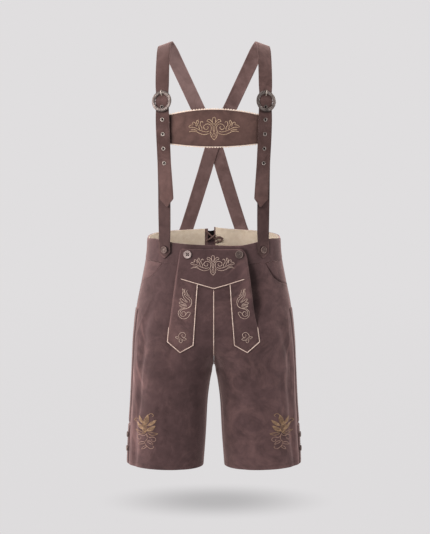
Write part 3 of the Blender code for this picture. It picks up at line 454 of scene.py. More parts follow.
# The lower straps' suede, a darker copy of the braces': painted shade where they lie behind the
# braces.
SHADED_LOWER_SUEDE = suede("lower_strap_suede_painted_shade", "3A2B2A", "523F3D", "6A514E", 0.5)
FLESH_SIDE = suede("strap_flesh_side", "584441", "78605D", "9A807C", 0.6)
GUSSET_SUEDE = suede("gusset_split_suede", "46363A", "66504F", "7A605C", 0.5)
LINING_COTTON = cotton("woven_cotton_lining", "DCC7AC", "FBEDD8")
# Thin dyed kid leather rolled over a cord: soft satin.
PIPING_KID = grained("rolled_kid_piping", "B09488", "DEC8BA", 0.55, 900)
# Pinked kid edging, paler than the piping.
EDGING_KID = grained("pinked_kid_edging", "D8BCA6", "F6E4D4", 0.6, 700)
# Rayon embroidery thread, laid close: silky, its plies shown as a fine grain.
GOLD_THREAD = grained("gold_rayon_thread", "967860", "D4B898", 0.45, 1500, depth=0.0005)
TAN_THREAD = grained("tan_rayon_thread", "987E70", "C8B2A4", 0.45, 1500, depth=0.0005)
OLIVE_THREAD = grained("olive_gold_rayon_thread", "705640", "A3825F", 0.5, 1500, depth=0.0005)
ROSE_THREAD = grained("rose_tan_rayon_thread", "7C5E50", "A88879", 0.5, 1500, depth=0.0005)
SEWING_THREAD = grained("waxed_sewing_thread", "2C201E", "56433D", 0.7, 1500)
# Cast zinc with an antique silver finish, mottled dark and pale.
SILVER = grained("antique_silver_cast_zinc", "2A2423", "7E736E", 0.5, 420, metallic=0.85)
NICKEL = grained("nickelled_brass", "766C66", "B2A8A0", 0.42, 900, metallic=0.7)
# The same brass painted darker for the right brace's eyelets: painted shade on the side away from
# the light.
NICKEL_PAINTED_SHADE = grained("nickelled_brass_painted_darker", "5E5450", "988E88", 0.45, 900, metallic=0.7)
# Eyelet barrels painted near black: a painted shade that makes the holes read dark.
HOLE_SHADE_BLACK = grained("barrel_painted_hole_shade", "0B0807", "150F0E", 0.8, 900)
DARK_SILVER = grained("blackened_cast_zinc", "4C3D39", "94817A", 0.6, 420, metallic=0.1, gloss=0.2)
# Bare bright prong.
BRIGHT_SILVER = grained("rubbed_cast_zinc", "766B63", "B8ADA2", 0.45, 420, metallic=0.4)
# Sawn stag horn, polished: pale with brown flecks.
PALE_HORN = grained("polished_pale_horn", "7C6B67", "AE9D98", 0.45, 350, coat=0.1)
DARK_HORN = grained("polished_dark_horn", "5A4641", "9C8780", 0.7, 350, gloss=0.15)
LACE_LEATHER = grained("round_cut_leather_lace", "4C3834", "765A52", 0.75, 900)

# ---------------------------------------------------------------- making pieces


def lay(net, columns, rows, place):
    """Adds a grid to the bmesh and lays its points where place(u, v) says, in millimetres."""
    net.loops.layers.uv.verify()
    made = bmesh.ops.create_grid(net, x_segments=columns, y_segments=rows, size=0.5,
                                 calc_uvs=True)["verts"]
    flat = np.array([vert.co.xy for vert in made]) + 0.5
    for vert, point in zip(made, place(flat[:, 0], flat[:, 1]) * MM):
        vert.co = point
    return made, flat


def piece(name, net, material, slot, *nodes, smooth=50):
    """Turns a bmesh into a finished object that rides on the breeches."""
    mesh = bpy.data.meshes.new(name)
    net.to_mesh(mesh)
    net.free()
    return dress(bpy.data.objects.new(name + "_dressed", mesh), material, nodes, smooth)


def dress(obj, material, nodes, smooth=50):
    obj.data.materials.clear()
    obj.data.materials.append(material)
    obj.data.shade_smooth()
    obj.data.set_sharp_from_angle(angle=math.radians(smooth))
    if obj.name not in bpy.context.scene.collection.objects:
        bpy.context.scene.collection.objects.link(obj)
    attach(obj, "root")
    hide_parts(*nodes)
    return obj


def applied(obj, *cutters):
    """Cuts the cutters out of a piece and keeps its modifiers' result as its mesh."""
    for cutter in cutters:
        cut = obj.modifiers.new("cut", "BOOLEAN")
        cut.operation, cut.solver, cut.object = "DIFFERENCE", "EXACT", cutter
    seen = obj.evaluated_get(bpy.context.evaluated_depsgraph_get())
    mesh = bpy.data.meshes.new_from_object(seen)
    obj.modifiers.clear()
    obj.data = mesh
    for cutter in cutters:
        bpy.data.objects.remove(cutter)
    return obj


def helper(net):
    """A cutter that is never drawn."""
    mesh = bpy.data.meshes.new("cutter")
    net.to_mesh(mesh)
    net.free()
    obj = bpy.data.objects.new("cutter", mesh)
    bpy.context.scene.collection.objects.link(obj)
    return obj


def cloth(name, place, columns, rows, outside, thick, material, slot, nodes, cut,
          edge=0.5, inner=None, marks=()):
    """A cut of leather or cloth: a fine grid on its outer face, thickened inwards, its cut
    edges eased over. place(u, v, out) lays it. cut is its flat width and length, and how much
    of that rectangle it fills, which is not used. Each mark is a name and how strong it is at each
    point."""
    net = bmesh.new()
    layers = [net.verts.layers.float.new(label) for label, _ in marks]
    made, flat = lay(net, columns, rows, lambda u, v: place(u, v, outside))
    points = np.array([vert.co for vert in made]) / MM
    for layer, (_, strength) in zip(layers, marks):
        for vert, amount in zip(made, strength(flat[:, 0], flat[:, 1], points)):
            vert[layer] = amount
    net.normal_update()
    middle = np.array([0.5]), np.array([0.5])
    outwards = (place(*middle, outside + 1.0) - place(*middle, outside))[0]
    centre = place(*middle, outside)[0] * MM
    near = min(net.verts, key=lambda vert: (vert.co - Vector(centre)).length)
    if near.normal.dot(Vector(outwards)) < 0:
        bmesh.ops.reverse_faces(net, faces=net.faces)
    width, length, share = cut[0] * MM, cut[1] * MM, cut[2]
    uv = net.loops.layers.uv.verify()
    for face in net.faces:
        for loop in face.loops:
            loop[uv].uv = (loop[uv].uv.x * width, loop[uv].uv.y * length)
    obj = piece(name, net, material, slot, *nodes)
    wall = obj.modifiers.new("thickness", "SOLIDIFY")
    wall.thickness, wall.offset, wall.use_even_offset = thick * MM, -1, True
    if inner:
        obj.data.materials.append(inner)
        wall.material_offset = 1
    ease_edge(obj, edge)
    return obj


def ease_edge(obj, width, segments=2):
    bevel = obj.modifiers.new("eased edge", "BEVEL")
    bevel.width, bevel.segments, bevel.limit_method = width * MM, segments, "ANGLE"
    bevel.angle_limit, bevel.harden_normals = math.radians(60), True


def smooth_run(points, step):
    """A smooth line through a few points, with points a step apart along it."""
    points = np.array(points, float)
    lengths = np.concatenate(([0], np.cumsum(np.linalg.norm(np.diff(points, axis=0), axis=1))))
    count = max(int(lengths[-1] / step), 3)
    wanted = np.linspace(0, lengths[-1], count + 1)
    table = np.column_stack((lengths, points))
    return rows_at(table, wanted).T


def cords(name, runs, material, slot, *nodes, sides=1, straight=True):
    """Round cords or threads: each run is its points, its radius and how its ends taper."""
    curve = bpy.data.curves.new(name, "CURVE")
    curve.dimensions, curve.bevel_depth, curve.bevel_resolution = "3D", MM, sides
    curve.use_fill_caps = True
    for points, radius, taper in runs:
        count = len(points)
        spline = curve.splines.new("POLY")
        spline.points.add(count - 1)
        spline.points.foreach_set("co", np.column_stack((points * MM, np.ones(count))).ravel())
        ends = np.minimum(np.arange(count), np.arange(count)[::-1]) / max(taper, 1e-6)
        spline.points.foreach_set("radius", radius * np.clip(0.3 + 0.7 * ends, 0, 1))
    holder = bpy.data.objects.new(name + "_line", curve)
    bpy.context.scene.collection.objects.link(holder)
    seen = holder.evaluated_get(bpy.context.evaluated_depsgraph_get())
    mesh = bpy.data.meshes.new_from_object(seen)
    bpy.data.objects.remove(holder)
    return dress(bpy.data.objects.new(name + "_dressed", mesh), material, nodes, 80)


def stitches(line_points, lift=0.0, length=3.0, gap=1.2, radius=0.34):
    """Short threads along a line of points on the leather's face."""
    points = np.array(line_points, float)
    lengths = np.concatenate(([0], np.cumsum(np.linalg.norm(np.diff(points, axis=0), axis=1))))
    runs = []
    start = 0.6
    while start + length < lengths[-1]:
        marks = np.linspace(start, start + length, 4)
        run = np.stack([np.interp(marks, lengths, points[:, axis]) for axis in range(3)], -1)
        runs.append((run, radius, 1.0))
        start += length + gap
    return runs


def turned(net, profile, steps, place):
    """Spins a half section of (radius, height) about the place's own Z."""
    points = [net.verts.new((radius * MM, 0, height * MM)) for radius, height in profile]
    edges = [net.edges.new(pair) for pair in zip(points, points[1:])]
    made = bmesh.ops.spin(net, geom=points + edges, cent=(0, 0, 0), axis=(0, 0, 1),
                          angle=math.tau, steps=steps, use_merge=True)
    del made
    bmesh.ops.remove_doubles(net, verts=net.verts, dist=1e-6)
    bmesh.ops.recalc_face_normals(net, faces=net.faces)
    bmesh.ops.transform(net, matrix=place, verts=net.verts)


def frame_at(point, across, up, out):
    """A placing matrix from millimetres: columns across, up and out."""
    made = Matrix((Vector(across), Vector(up), Vector(out))).transposed().to_4x4()
    made.translation = Vector(point) * MM
    return made


def seat(surface, x, z, out):
    """The frame on a face: its Y up the face, its Z out of it."""
    here, above = (Vector(surface(x, z, o)) for o in (out, out + 1))
    upper = Vector(surface(x, z + 1, out))
    normal = (above - here).normalized()
    across = (upper - here).cross(normal).normalized()
    return frame_at(here, across, normal.cross(across), normal)


# ---------------------------------------------------------------- breeches


# How far the drop front's right edge is drawn in at a height.
DRAWN_IN = ((-706, 1.2), (-690, 2.0), (-664, 3.2), (-640, 5.2), (-620, 6.0), (-540, 5.4),
            (-480, 4.4))


def flap_edge(z, side=-1):
    return 79 + (110 - 79) * (-480 - z) / 219 - (side > 0) * np.interp(z, *zip(*DRAWN_IN[::1]))


def flap_hollow(turn, height):
    """How far the right front sinks beside the edge of the drop front."""
    away = (turn - turn_at(flap_edge(height, 1) + 5, height)) * DEGREE_LENGTH
    return (7.0 * np.exp(-(away / np.where(away > 0, 15, 24)) ** 2)
            * ease((-494 - height) / 44) * ease((height + 668) / 60))


def front_place(side):
    upper = (BAND_SEAM - POCKET_BLEND) / (BAND_SEAM - HEM)

    def place(u, v, out):
        top_turn = 90 + 90 * u
        mouth = np.interp(top_turn, *zip(*MOUTH[side]), left=BAND_SEAM)
        height = np.where(v < upper, mouth + (POCKET_BLEND - mouth) * v / upper,
                          POCKET_BLEND + (HEM - POCKET_BLEND) * (v - upper) / (1 - upper))
        start = np.maximum(turn_at(0.05, height), 0.12)
        turn = start + (180 - start) * u
        if side > 0:
            out = out - flap_hollow(turn, height)
        return skin(side, turn, height, out)

    return place


def back_place(side):
    def place(u, v, out):
        height = BAND_SEAM + (HEM - BAND_SEAM) * v
        end = 360 - np.maximum(turn_at(0.05, height), 0.12)
        return skin(side, 180 + (end - 180) * u, height, out)

    return place


def strip_place(side, strip):
    def place(u, v, out):
        turn = strip.first_turn + (strip.last_turn - strip.first_turn) * u
        sunk = 0.9 * (1 - ease(u / 0.16))
        return skin(side, turn, strip.top + (strip.bottom - strip.top) * v, out - sunk)

    return place


# How much higher the waist's edge stands at a turn in front: left and right.
WAIST_RISE = {-1: ((98, 0), (112, 1.2), (127, 3.4), (140, 7.5), (150, 6.8), (160, 4.0), (172, 0.8),
                   (182, 0)),
              1: ((90, 0), (101, -2.2), (112, -2.0), (123, 2.0), (132, 5.5), (140, 8.0), (150, 7.0),
                  (160, 4.2), (172, 0.8), (182, 0))}


def band_place(side, x_end, top, bottom):
    start = float(turn_at(0.05, WAIST))
    end = float(turn_at(abs(x_end), WAIST, back=True))

    def place(u, v, out):
        turn = start + (end - start) * u
        edge = top + SLOT_PEAK[side] * np.exp(-(1 - u) * 450 / 17)
        edge = edge + np.interp(turn, *zip(*WAIST_RISE[side]))
        height = edge + (bottom - edge) * v
        roll = 1.3 * (1 - ease((edge - height) / 6)) * (bottom < top)
        return skin(side, turn, height, out - roll)

    return place


def facing_place(side):
    """The pocket facing fills the mouth, almost level with the front; the right one gapes."""
    def place(u, v, out):
        turn = POCKET_FACING.first_turn + (POCKET_FACING.last_turn - POCKET_FACING.first_turn) * u
        height = POCKET_FACING.top + (POCKET_FACING.bottom - POCKET_FACING.top) * v
        mouth = np.interp(turn, *zip(*MOUTH[side]))
        gape = GAPE[side] * np.exp(-((turn - 146) / 9) ** 2)
        sunk = 0.5 * gape * (1 - ease((height - mouth) / (gape + 1)))
        soft = 4 if side > 0 else 1.6
        return skin(side, turn, height, out - sunk + 1.9 * ease((height - mouth - gape) / soft))

    return place


def beside(away, reach):
    """How strong a contact shade is at a distance outside an edge."""
    return np.exp(-(np.maximum(away, 0) / reach) ** 2)


def beside_flap(side, x, z):
    """Painted shadow beside the drop front: wide along its standing right edge; on its left a line
    and a broad faint shade."""
    away = np.abs(x) - flap_edge(z, side)
    if side < 0:
        close = 0.35 * beside(away, 2.4) * ease((z + 668) / 12) * (z < -486)
        broad = 0.17 * beside(away, 46) * ease((z + 790) / 100)
        return np.maximum(close, broad) * (away > -12)
    reach = np.interp(z, (-664, -656, -642, -628, -609, -553, -534, -515, -496, -482),
                      (1, 4, 9, 14, 20, 20, 18, 13, 8, 3))
    return 0.66 / (1 + (np.maximum(away, 0) / reach) ** 4) * (away > -12) * ease((z + 666) / 12)


def tab_painted_shadow(side, x, z):
    """A painted shadow line under the edge of a lower strap's buttoned end."""
    half = np.interp(z, (FRONT_TAB_POINT, FRONT_TAB_SHOULDER), (2, 16))
    away = np.maximum(x - side * FRONT_TAB_X - half, FRONT_TAB_POINT - z)
    near = (z > FRONT_TAB_POINT - 6) * (x > side * FRONT_TAB_X - 3)
    return (0.8 if side < 0 else 0.35) * beside(away, 1.7) * near


def band_shade(side):
    def strength(u, v, points):
        x, y, z = points.T
        by_flap = beside_flap(side, x, z) * ease((-478 - z) / 8)
        over_flap = 0.4 * beside(z - FLAP_TOP, 2.6) * (z > FLAP_TOP - 6) * (np.abs(x) < 70)
        total = np.maximum(np.maximum(by_flap, over_flap), tab_painted_shadow(side, x, z))
        return np.maximum(total, 0.12 * (side < 0)) * (y < 0)

    return strength


# Paler along the band's top edge: partly wear, partly painted highlight where the roll catches the
# light.
def band_wear_and_highlight(u, v, points):
    return np.exp(-v * 48 / 3) * 0.8


def front_shade(side):
    return lambda u, v, points: beside_flap(side, points[:, 0], points[:, 2])


# Pale streaks along the puckers beside the side seams, partly rubbed nap and partly painted
# highlight on their ridges: x and z at the top, then lower down.
STREAKS = (
    ((-180, -611), (-187, -681), 0.9), ((-176, -623), (-164, -705), 0.7),
    ((-171, -668), (-159, -744), 0.5), ((-187, -742), (-166, -822), 1.3),
    ((-192, -768), (-185, -826), 1.0), ((-190, -829), (-180, -927), 0.9),
    ((-194, -903), (-185, -962), 1.1), ((-183, -927), (-180, -980), 0.9),
    ((181, -686), (172, -768), 1.1), ((172, -768), (169, -829), 0.9),
    ((185, -705), (179, -752), 0.8), ((174, -880), (169, -939), 0.9),
    ((181, -903), (181, -962), 1.0), ((166, -846), (163, -892), 0.5),
)
STREAK_WIDTH = 2.6


# Partly rubbed wear, partly painted highlight: paler over the outer left where the light falls,
# along the right's outer side and lower leg, and in the streaks.
def front_wear_and_highlight(side):
    def strength(u, v, points):
        x, _, z = points.T
        if side > 0:
            total = 0.3 * ease((u - 0.7) / 0.2) + 0.2 * ease((-840 - z) / 80) + 0.25
        else:
            total = ease((u - 0.5) / 0.5) * (0.4 + 0.35 * np.sin(z / 37 + 1.3) ** 2)
            total = total * (1 + 0.4 * np.sin(z / 8 + 50 * u) * np.sin(z / 21 - 26 * u))
            total = total * (1 - 0.6 * ease((z + 680) / 80)) - 0.25 * ease((z + 640) / 60)
        for start, end, amount in STREAKS:
            share = np.clip((z - start[1]) / (end[1] - start[1]), 0, 1)
            away = x - start[0] - (end[0] - start[0]) * share - 2.0 * np.sin(z / 13 + start[0])
            along = np.sin(math.pi * share) * (z < start[1]) * (z > end[1])
            total = total + amount * np.exp(-(away / STREAK_WIDTH) ** 2) * along
        return total

    return strength


def lining_shade(side):
    """Painted shade: darker down inside the waist, and by the right side."""
    def strength(u, v, points):
        low = (0.2 if side < 0 else 0.03) * ease(v / 0.36)
        return low + (side > 0) * 0.5 * ease((points[:, 0] - 62) / 60)

    return strength


def facing_shade(side):
    def strength(u, v, points):
        turn = POCKET_FACING.first_turn + (POCKET_FACING.last_turn - POCKET_FACING.first_turn) * u
        height = POCKET_FACING.top + (POCKET_FACING.bottom - POCKET_FACING.top) * v
        above = height - np.interp(turn, *zip(*MOUTH[side]))
        gape = GAPE[side] * np.exp(-((turn - 146) / 9) ** 2)
        return 0.9 * beside(above, gape + 0.8) * (side > 0)

    return strength


MOUTH = {-1: POCKET_EDGE,
         1: ((135, -508), (139, -528), (144, -548), (150, -558), (157.5, -564), (165, -568),
             (172.5, -572), (180, -574))}
SLOT_PEAK, GAPE = {-1: 1.6, 1: 5.5}, {-1: 0.0, 1: 6.5}
BAND_END = {-1: -14.5, 1: 0.5}
for half, side in SIDES:
    slot_edge = SLOT_LEFT if side < 0 else SLOT_RIGHT
    cloth(f"front_{half}", front_place(side), 140, 160, 0.0, SUEDE, BODY_SUEDE, "suede",
          [f"front_{half}"], (340, 500, 0.81),
          marks=(("shade", front_shade(side)), ("wear_and_highlight", front_wear_and_highlight(side))))
    cloth(f"back_{half}", back_place(side), 84, 150, 0.0, SUEDE, BODY_SUEDE, "suede",
          [f"back_{half}"], (350, 500, 0.86))
    cloth(f"waistband_{half}", band_place(side, BAND_END[side], WAIST, BAND_SEAM), 200, 32, 0.8,
          SUEDE + 0.8, BODY_SUEDE, "suede", [f"waistband_{half}"], (450, 48, 1),
          edge=0.4, inner=FLESH_SIDE,
          marks=(("shade", band_shade(side)), ("wear_and_highlight", band_wear_and_highlight)))
    cloth(f"waist_lining_{half}", band_place(side, slot_edge, WAIST - 0.2, BAND_SEAM), 110, 14,
          -SUEDE - 0.1, LINING, LINING_COTTON, "lining", [f"waist_lining_{half}"], (440, 46, 1),
          marks=(("shade", lining_shade(side)),))
    # The facing's pale mark grows towards the side seam: partly wear, partly painted highlight.
    cloth(f"pocket_facing_{half}", facing_place(side), 60, 48,
          -SUEDE - LIFT, POCKET_FACING.thickness, BODY_SUEDE, "suede",
          [f"pocket_facing_{half}"], (110, 90, 1),
          marks=(("shade", facing_shade(side)), ("wear_and_highlight", lambda u, v, points: u * 0.6)))
    cloth(f"side_welt_{half}", strip_place(side, SIDE_WELT), 14, 90, LIFT + SIDE_WELT.thickness,
          SIDE_WELT.thickness + 0.4, BODY_SUEDE, "suede", [f"side_welt_{half}"], (31, 277, 0.91),
          edge=0.8)
    cloth(f"hem_placket_{half}", strip_place(side, HEM_PLACKET), 10, 32,
          LIFT + HEM_PLACKET.thickness, HEM_PLACKET.thickness + 0.4, BODY_SUEDE, "suede",
          [f"hem_placket_{half}"], (35, 96, 0.82))


def gusset_place(u, v, out):
    x = SLOT_LEFT + (SLOT_RIGHT - SLOT_LEFT) * u
    top = GUSSET_TOP - GUSSET_DIP * np.sin(np.pi * u)
    return on_face(x, top + (GUSSET_END - top) * v, out, back=True)


def gusset_shade(u, v, points):
    x, _, z = points.T
    return ease((z + 482.5 - 0.62 * (x + 18)) / 2 + 0.5)


cloth("back_gusset", gusset_place, 30, 44, -0.3, 1.2, GUSSET_SUEDE, "suede", ["back_gusset"],
      (26, 38, 1),
      marks=(("shade", gusset_shade),))


def v_line(x):
    return V_MIDDLE + (V_SIDE - V_MIDDLE) * np.abs(x) / V_SIDE_X


# How far the drop front's top corners are rounded, along and down: the right one curls in.
CORNER = {-1: (FLAP_CORNER, FLAP_CORNER), 1: (15, 23)}


def yoke_place(u, v, out):
    column = np.interp(u, (0, 0.04, 0.96, 1), (-1, -0.94, 0.94, 1))
    low = v_line(V_SIDE_X * column)
    along, down = (np.where(column < 0, CORNER[-1][axis], CORNER[1][axis]) for axis in (0, 1))
    near_side = np.maximum((np.abs(column) - 1) * FLAP_TOP_WIDTH / along + 1, 0)
    top = FLAP_TOP - down + down * np.sqrt(np.maximum(1 - near_side ** 2, 0))
    z = top + (low - top) * v
    half = FLAP_TOP_WIDTH + (V_SIDE_X - FLAP_TOP_WIDTH) * (FLAP_TOP - z) / (FLAP_TOP - V_SIDE)
    return on_flap(column * half, z, out)


def on_flap(x, z, out):
    """The drop front's face: it stands off along its right edge, and its edges roll under."""
    x, z = np.broadcast_arrays(np.asarray(x, float), np.asarray(z, float))
    right, left = x - flap_edge(z), -x - flap_edge(z)
    lift = 9.5 * ease((right + 36) / 38) ** 2 * ease((-483 - z) / 48) * ease((z + 672) / 64)
    lift = lift + 1.8 * ease((left + 24) / 26) ** 2 * ease((-486 - z) / 40)
    bend = np.array((-44, -45)) / math.hypot(44, 45)
    along = (x - 72) * bend[0] + (z + 500) * bend[1]
    away = (x - 72) * -bend[1] + (z + 500) * bend[0]
    lift = lift - 1.5 * np.exp(-(away / 7) ** 2) * ease(along / 14) * ease((66 - along) / 20)
    inside = np.minimum(np.minimum(-right, -left), (FLAP_TOP - z) * 1.3)
    near = (x / flap_edge(z) - 1) * FLAP_TOP_WIDTH / CORNER[1][0] + 1
    high = (z - FLAP_TOP) / CORNER[1][1] + 1
    in_corner = (1 - np.hypot(near, high)) * CORNER[1][0]
    inside = np.where((near > 0) & (high > 0), np.minimum(inside, in_corner), inside)
    rolled = 1.5 * (1 - ease(inside / 3.4))
    drawn = np.clip((x - 30) / (flap_edge(z) - 30), 0, 1) * np.interp(z, *zip(*DRAWN_IN))
    point = on_face(x - drawn, z, out - rolled)
    point[..., 1] -= lift
    return point


def tab_place(side):
    def place(u, v, out):
        x_top = TAB_INNER_TOP + (V_SIDE_X - TAB_INNER_TOP) * u
        share = (TAB_POINT[0] - TAB_INNER_LOW[0]) / (TAB_OUTER_LOW[0] - TAB_INNER_LOW[0])
        low_x = np.interp(u, (0, share, 1), (TAB_INNER_LOW[0], TAB_POINT[0], TAB_OUTER_LOW[0]))
        low_z = np.interp(u, (0, share, 1), (TAB_INNER_LOW[1], TAB_POINT[1], TAB_OUTER_LOW[1]))
        top_z = v_line(x_top)
        return on_flap(side * (x_top + (low_x - x_top) * v), top_z + (low_z - top_z) * v, out)

    return place


FLAP_FACE = LIFT + FLAP_SUEDE
FLAP_BUTTON_X, FLAP_BUTTON_Z = 61, -493.5


def flap_wear_and_highlight(u, v, points):
    """Paler along the left and top edges, over the right half and along the pulled fold: partly
    rubbed wear, partly painted highlight.
    """
    x, _, z = points.T
    edge = np.minimum(flap_edge(z) + x, np.maximum(FLAP_TOP - z - 1, 0))
    fold = (x - 69 - (z + 503)) / math.sqrt(2)
    across = np.exp(-(fold / 3) ** 2) * ease((z + 548) / 14) * ease((-508 - z) / 10) * (x > 0)
    left_tab = 0.5 * ease((-x - 40) / 24) * ease((-550 - z) / 24)
    return (0.7 * np.exp(-(np.maximum(edge, 0) / 2.2) ** 2) + 0.35 * ease((x + 30) / 90)
            + 0.7 * across + left_tab)


def flap_shade(u, v, points):
    """Painted shadow beside the flap's buttons, on their lower right."""
    x, _, z = points.T
    total = 0
    for side, strength in ((-1, 0.7), (1, 0.6)):
        right, up = x - side * FLAP_BUTTON_X, z - FLAP_BUTTON_Z
        lee = ease((right - up) / 14 + 0.4)
        total = total + strength * beside(np.hypot(right, up) - FLAP_BUTTON, 1.8) * lee
    return total


cloth("flap_yoke", yoke_place, 130, 50, FLAP_FACE, FLAP_SUEDE, BODY_SUEDE, "suede",
      ["flap_yoke"], (190, 93, 0.77),
      edge=0.6, marks=(("wear_and_highlight", flap_wear_and_highlight), ("shade", flap_shade)))
for half, side in SIDES:
    cloth(f"flap_tab_{half}", tab_place(side), 32, 70, FLAP_FACE, FLAP_SUEDE, BODY_SUEDE,
          "suede", [f"flap_tab_{half}"], (75, 176, 0.72), edge=0.6,
          marks=(("wear_and_highlight", flap_wear_and_highlight),))


def on_flap_run(points, out, step=2.0):
    points = np.array(points, float)
    fine = [line(a, b, max(int(math.dist(a, b) / step), 2)) for a, b in zip(points, points[1:])]
    flat = np.concatenate([part[:-1] for part in fine] + [fine[-1][-1:]])
    return on_flap(flat[:, 0], flat[:, 1], out)


PIPE = 1.05
v_points = [(-77, v_line(77)), (-3, V_MIDDLE + 0.5), (0, V_MIDDLE), (3, V_MIDDLE + 0.5),
            (75, v_line(75))]
cords("piping_v", [(on_flap_run(v_points, FLAP_FACE + 0.4), PIPE, 2)], PIPING_KID, "piping",
      "piping_v", sides=3)
start_under_v = TAB_INNER_TOP + 0.9
tab_route = (
    (TAB_PIPING_START[0] - PIPING_INSET, TAB_PIPING_START[1]),
    (TAB_OUTER_LOW[0] - PIPING_INSET, TAB_OUTER_LOW[1] + 0.6),
    (TAB_POINT[0], TAB_POINT[1] + 1.8),
    (TAB_INNER_LOW[0] - 0.4, TAB_INNER_LOW[1] + 0.6),
    (start_under_v, v_line(start_under_v) - 1),
)
for half, side in SIDES:
    route = [(side * x, z) for x, z in tab_route]
    cords(f"piping_tab_{half}", [(on_flap_run(route, FLAP_FACE + 0.4), PIPE, 2)], PIPING_KID,
          "piping", f"piping_tab_{half}", sides=3)
fly_z = np.linspace(FLY_TOP, FLY_END, 80)
fly_line = on_face(0.6, fly_z, 0.7)
fly_line[:, 0] = -0.4
cords("piping_fly", [(fly_line, PIPE, 3)], PIPING_KID, "piping", "piping_fly", sides=3)

# ---------------------------------------------------------------- straps


class Track:
    """A smooth line through stations, read by its length from the first one."""

    def __init__(self, stations, side):
        rows = np.array(stations, float) * (side, 1, 1, side, 1, 1)
        table = np.column_stack((np.arange(len(rows)), rows))
        fine = np.arange(0, len(rows) - 1 + 1e-9, 0.1)
        smooth = rows_at(table, fine).T
        self.points = smooth[:, :3]
        self.normals = np.stack([np.interp(fine, table[:, 0], rows[:, 3 + axis])
                                 for axis in range(3)], -1)
        steps = np.linalg.norm(np.diff(self.points, axis=0), axis=1)
        self.lengths = np.concatenate(([0], np.cumsum(steps)))
        self.length = self.lengths[-1]

    def place(self, at):
        """Point, across and out at a length; before and after the line it runs straight on."""
        spot = int(np.clip(np.searchsorted(self.lengths, at, "right") - 1, 0,
                           len(self.lengths) - 2))
        share = (at - self.lengths[spot]) / (self.lengths[spot + 1] - self.lengths[spot])
        along = Vector(self.points[spot + 1] - self.points[spot]).normalized()
        inside = min(max(share, 0), 1)
        out = Vector(self.normals[spot] * (1 - inside) + self.normals[spot + 1] * inside)
        across = along.cross(out).normalized()
        point = self.points[spot] * (1 - share) + self.points[spot + 1] * share
        return Vector(point), across, across.cross(along).normalized(), along

    def length_at_height(self, z):
        spot = int(np.argmax(self.points[1:, 2] >= z))
        low, high = self.points[spot][2], self.points[spot + 1][2]
        step = self.lengths[spot + 1] - self.lengths[spot]
        return self.lengths[spot] + step * (z - low) / (high - low)


def tab_cut(x, z, x_next, z_next, back):
    """Point, across, out and along for a strap's end lying on the waistband."""
    here, there = (Vector(on_face(a, b, 0, back)) for a, b in ((x, z), (x_next, z_next)))
    out = (Vector(on_face(x, z, 1, back)) - here).normalized()
    across = (there - here).cross(out).normalized()
    return here, across, out, out.cross(across)


Cut = namedtuple("Cut", "point across out along width rise")


def brace_cuts(side):
    track = Track(BRACE_PATH, side)
    middle = track.length_at_height(BUCKLE_HEIGHT)
    marks = np.unique(np.concatenate((np.linspace(0, BRACE_POINT, 6),
                                      np.arange(BRACE_POINT, track.length, 3.0),
                                      middle + np.array([row[0] for row in WEAVE]),
                                      middle + np.arange(-10, 12, 1.2), [track.length])))
    marks = marks[np.concatenate(([True], np.diff(marks) > 0.4))]
    cuts = []
    for mark in marks:
        point, across, out, along = track.place(mark)
        rise, width = (np.interp(mark - middle, [r[0] for r in WEAVE], [r[c] for r in WEAVE])
                       for c in (1, 2))
        width = min(width, BLUNT + (BRACE_WIDTH - BLUNT) * mark / BRACE_POINT)
        if point.y > 0:
            near = 1 - abs(point.z - -236) / 120
            rise = rise - side * 1.7 * float(ease(near * 1.6))
        cuts.append(Cut(point, across, out, along, width, rise))
    (x_low, z_low), (x_top, z_top) = BACK_TAB_POINT, BACK_TAB_TOP
    nudge_x, nudge_z = (x_low - x_top) * 0.05, (z_low - z_top) * 0.05
    for share in np.linspace(0, 1, 15):
        x, z = x_top + (x_low - x_top) * share, z_top + (z_low - z_top) * share
        at = tab_cut(side * x, z, side * (x + nudge_x), z + nudge_z, True)
        width = np.interp(share, (0, 0.68, 1), (BRACE_WIDTH, BRACE_WIDTH, BLUNT))
        cuts.append(Cut(*at, width, LIFT + STRAP / 2))
    return track, middle, evened(cuts)


def evened(cuts):
    """The cuts of a strap respaced evenly along smooth lines, so that it bends softly."""
    spots = np.array([list(cut.point + cut.out * cut.rise) for cut in cuts])
    lengths = np.concatenate(([0], np.cumsum(np.linalg.norm(np.diff(spots, axis=0), axis=1))))
    table = np.column_stack((lengths, spots, [list(c.across) for c in cuts],
                             [list(c.out) for c in cuts], [c.width for c in cuts]))
    marks = np.linspace(0, lengths[-1], int(lengths[-1] / 2.4))
    rows = np.stack([np.interp(marks, lengths, table[:, 1 + c]) for c in range(10)], -1)
    ends = np.minimum(marks, lengths[-1] - marks)
    kernel = np.array((1, 2, 3, 2, 1)) / 9
    for column in range(9):
        soft = np.convolve(np.pad(rows[:, column], 2, "edge"), kernel, "valid")
        rows[:, column] = np.where(ends > 24, soft, rows[:, column])
    return rows


ACROSS = (-1, -0.975, -0.93, -0.88, -0.82, -0.74, -0.62, -0.5, -0.4, -0.3, -0.2, -0.1, 0,
          0.1, 0.2, 0.3, 0.4, 0.5, 0.62, 0.74, 0.82, 0.88, 0.93, 0.975, 1)


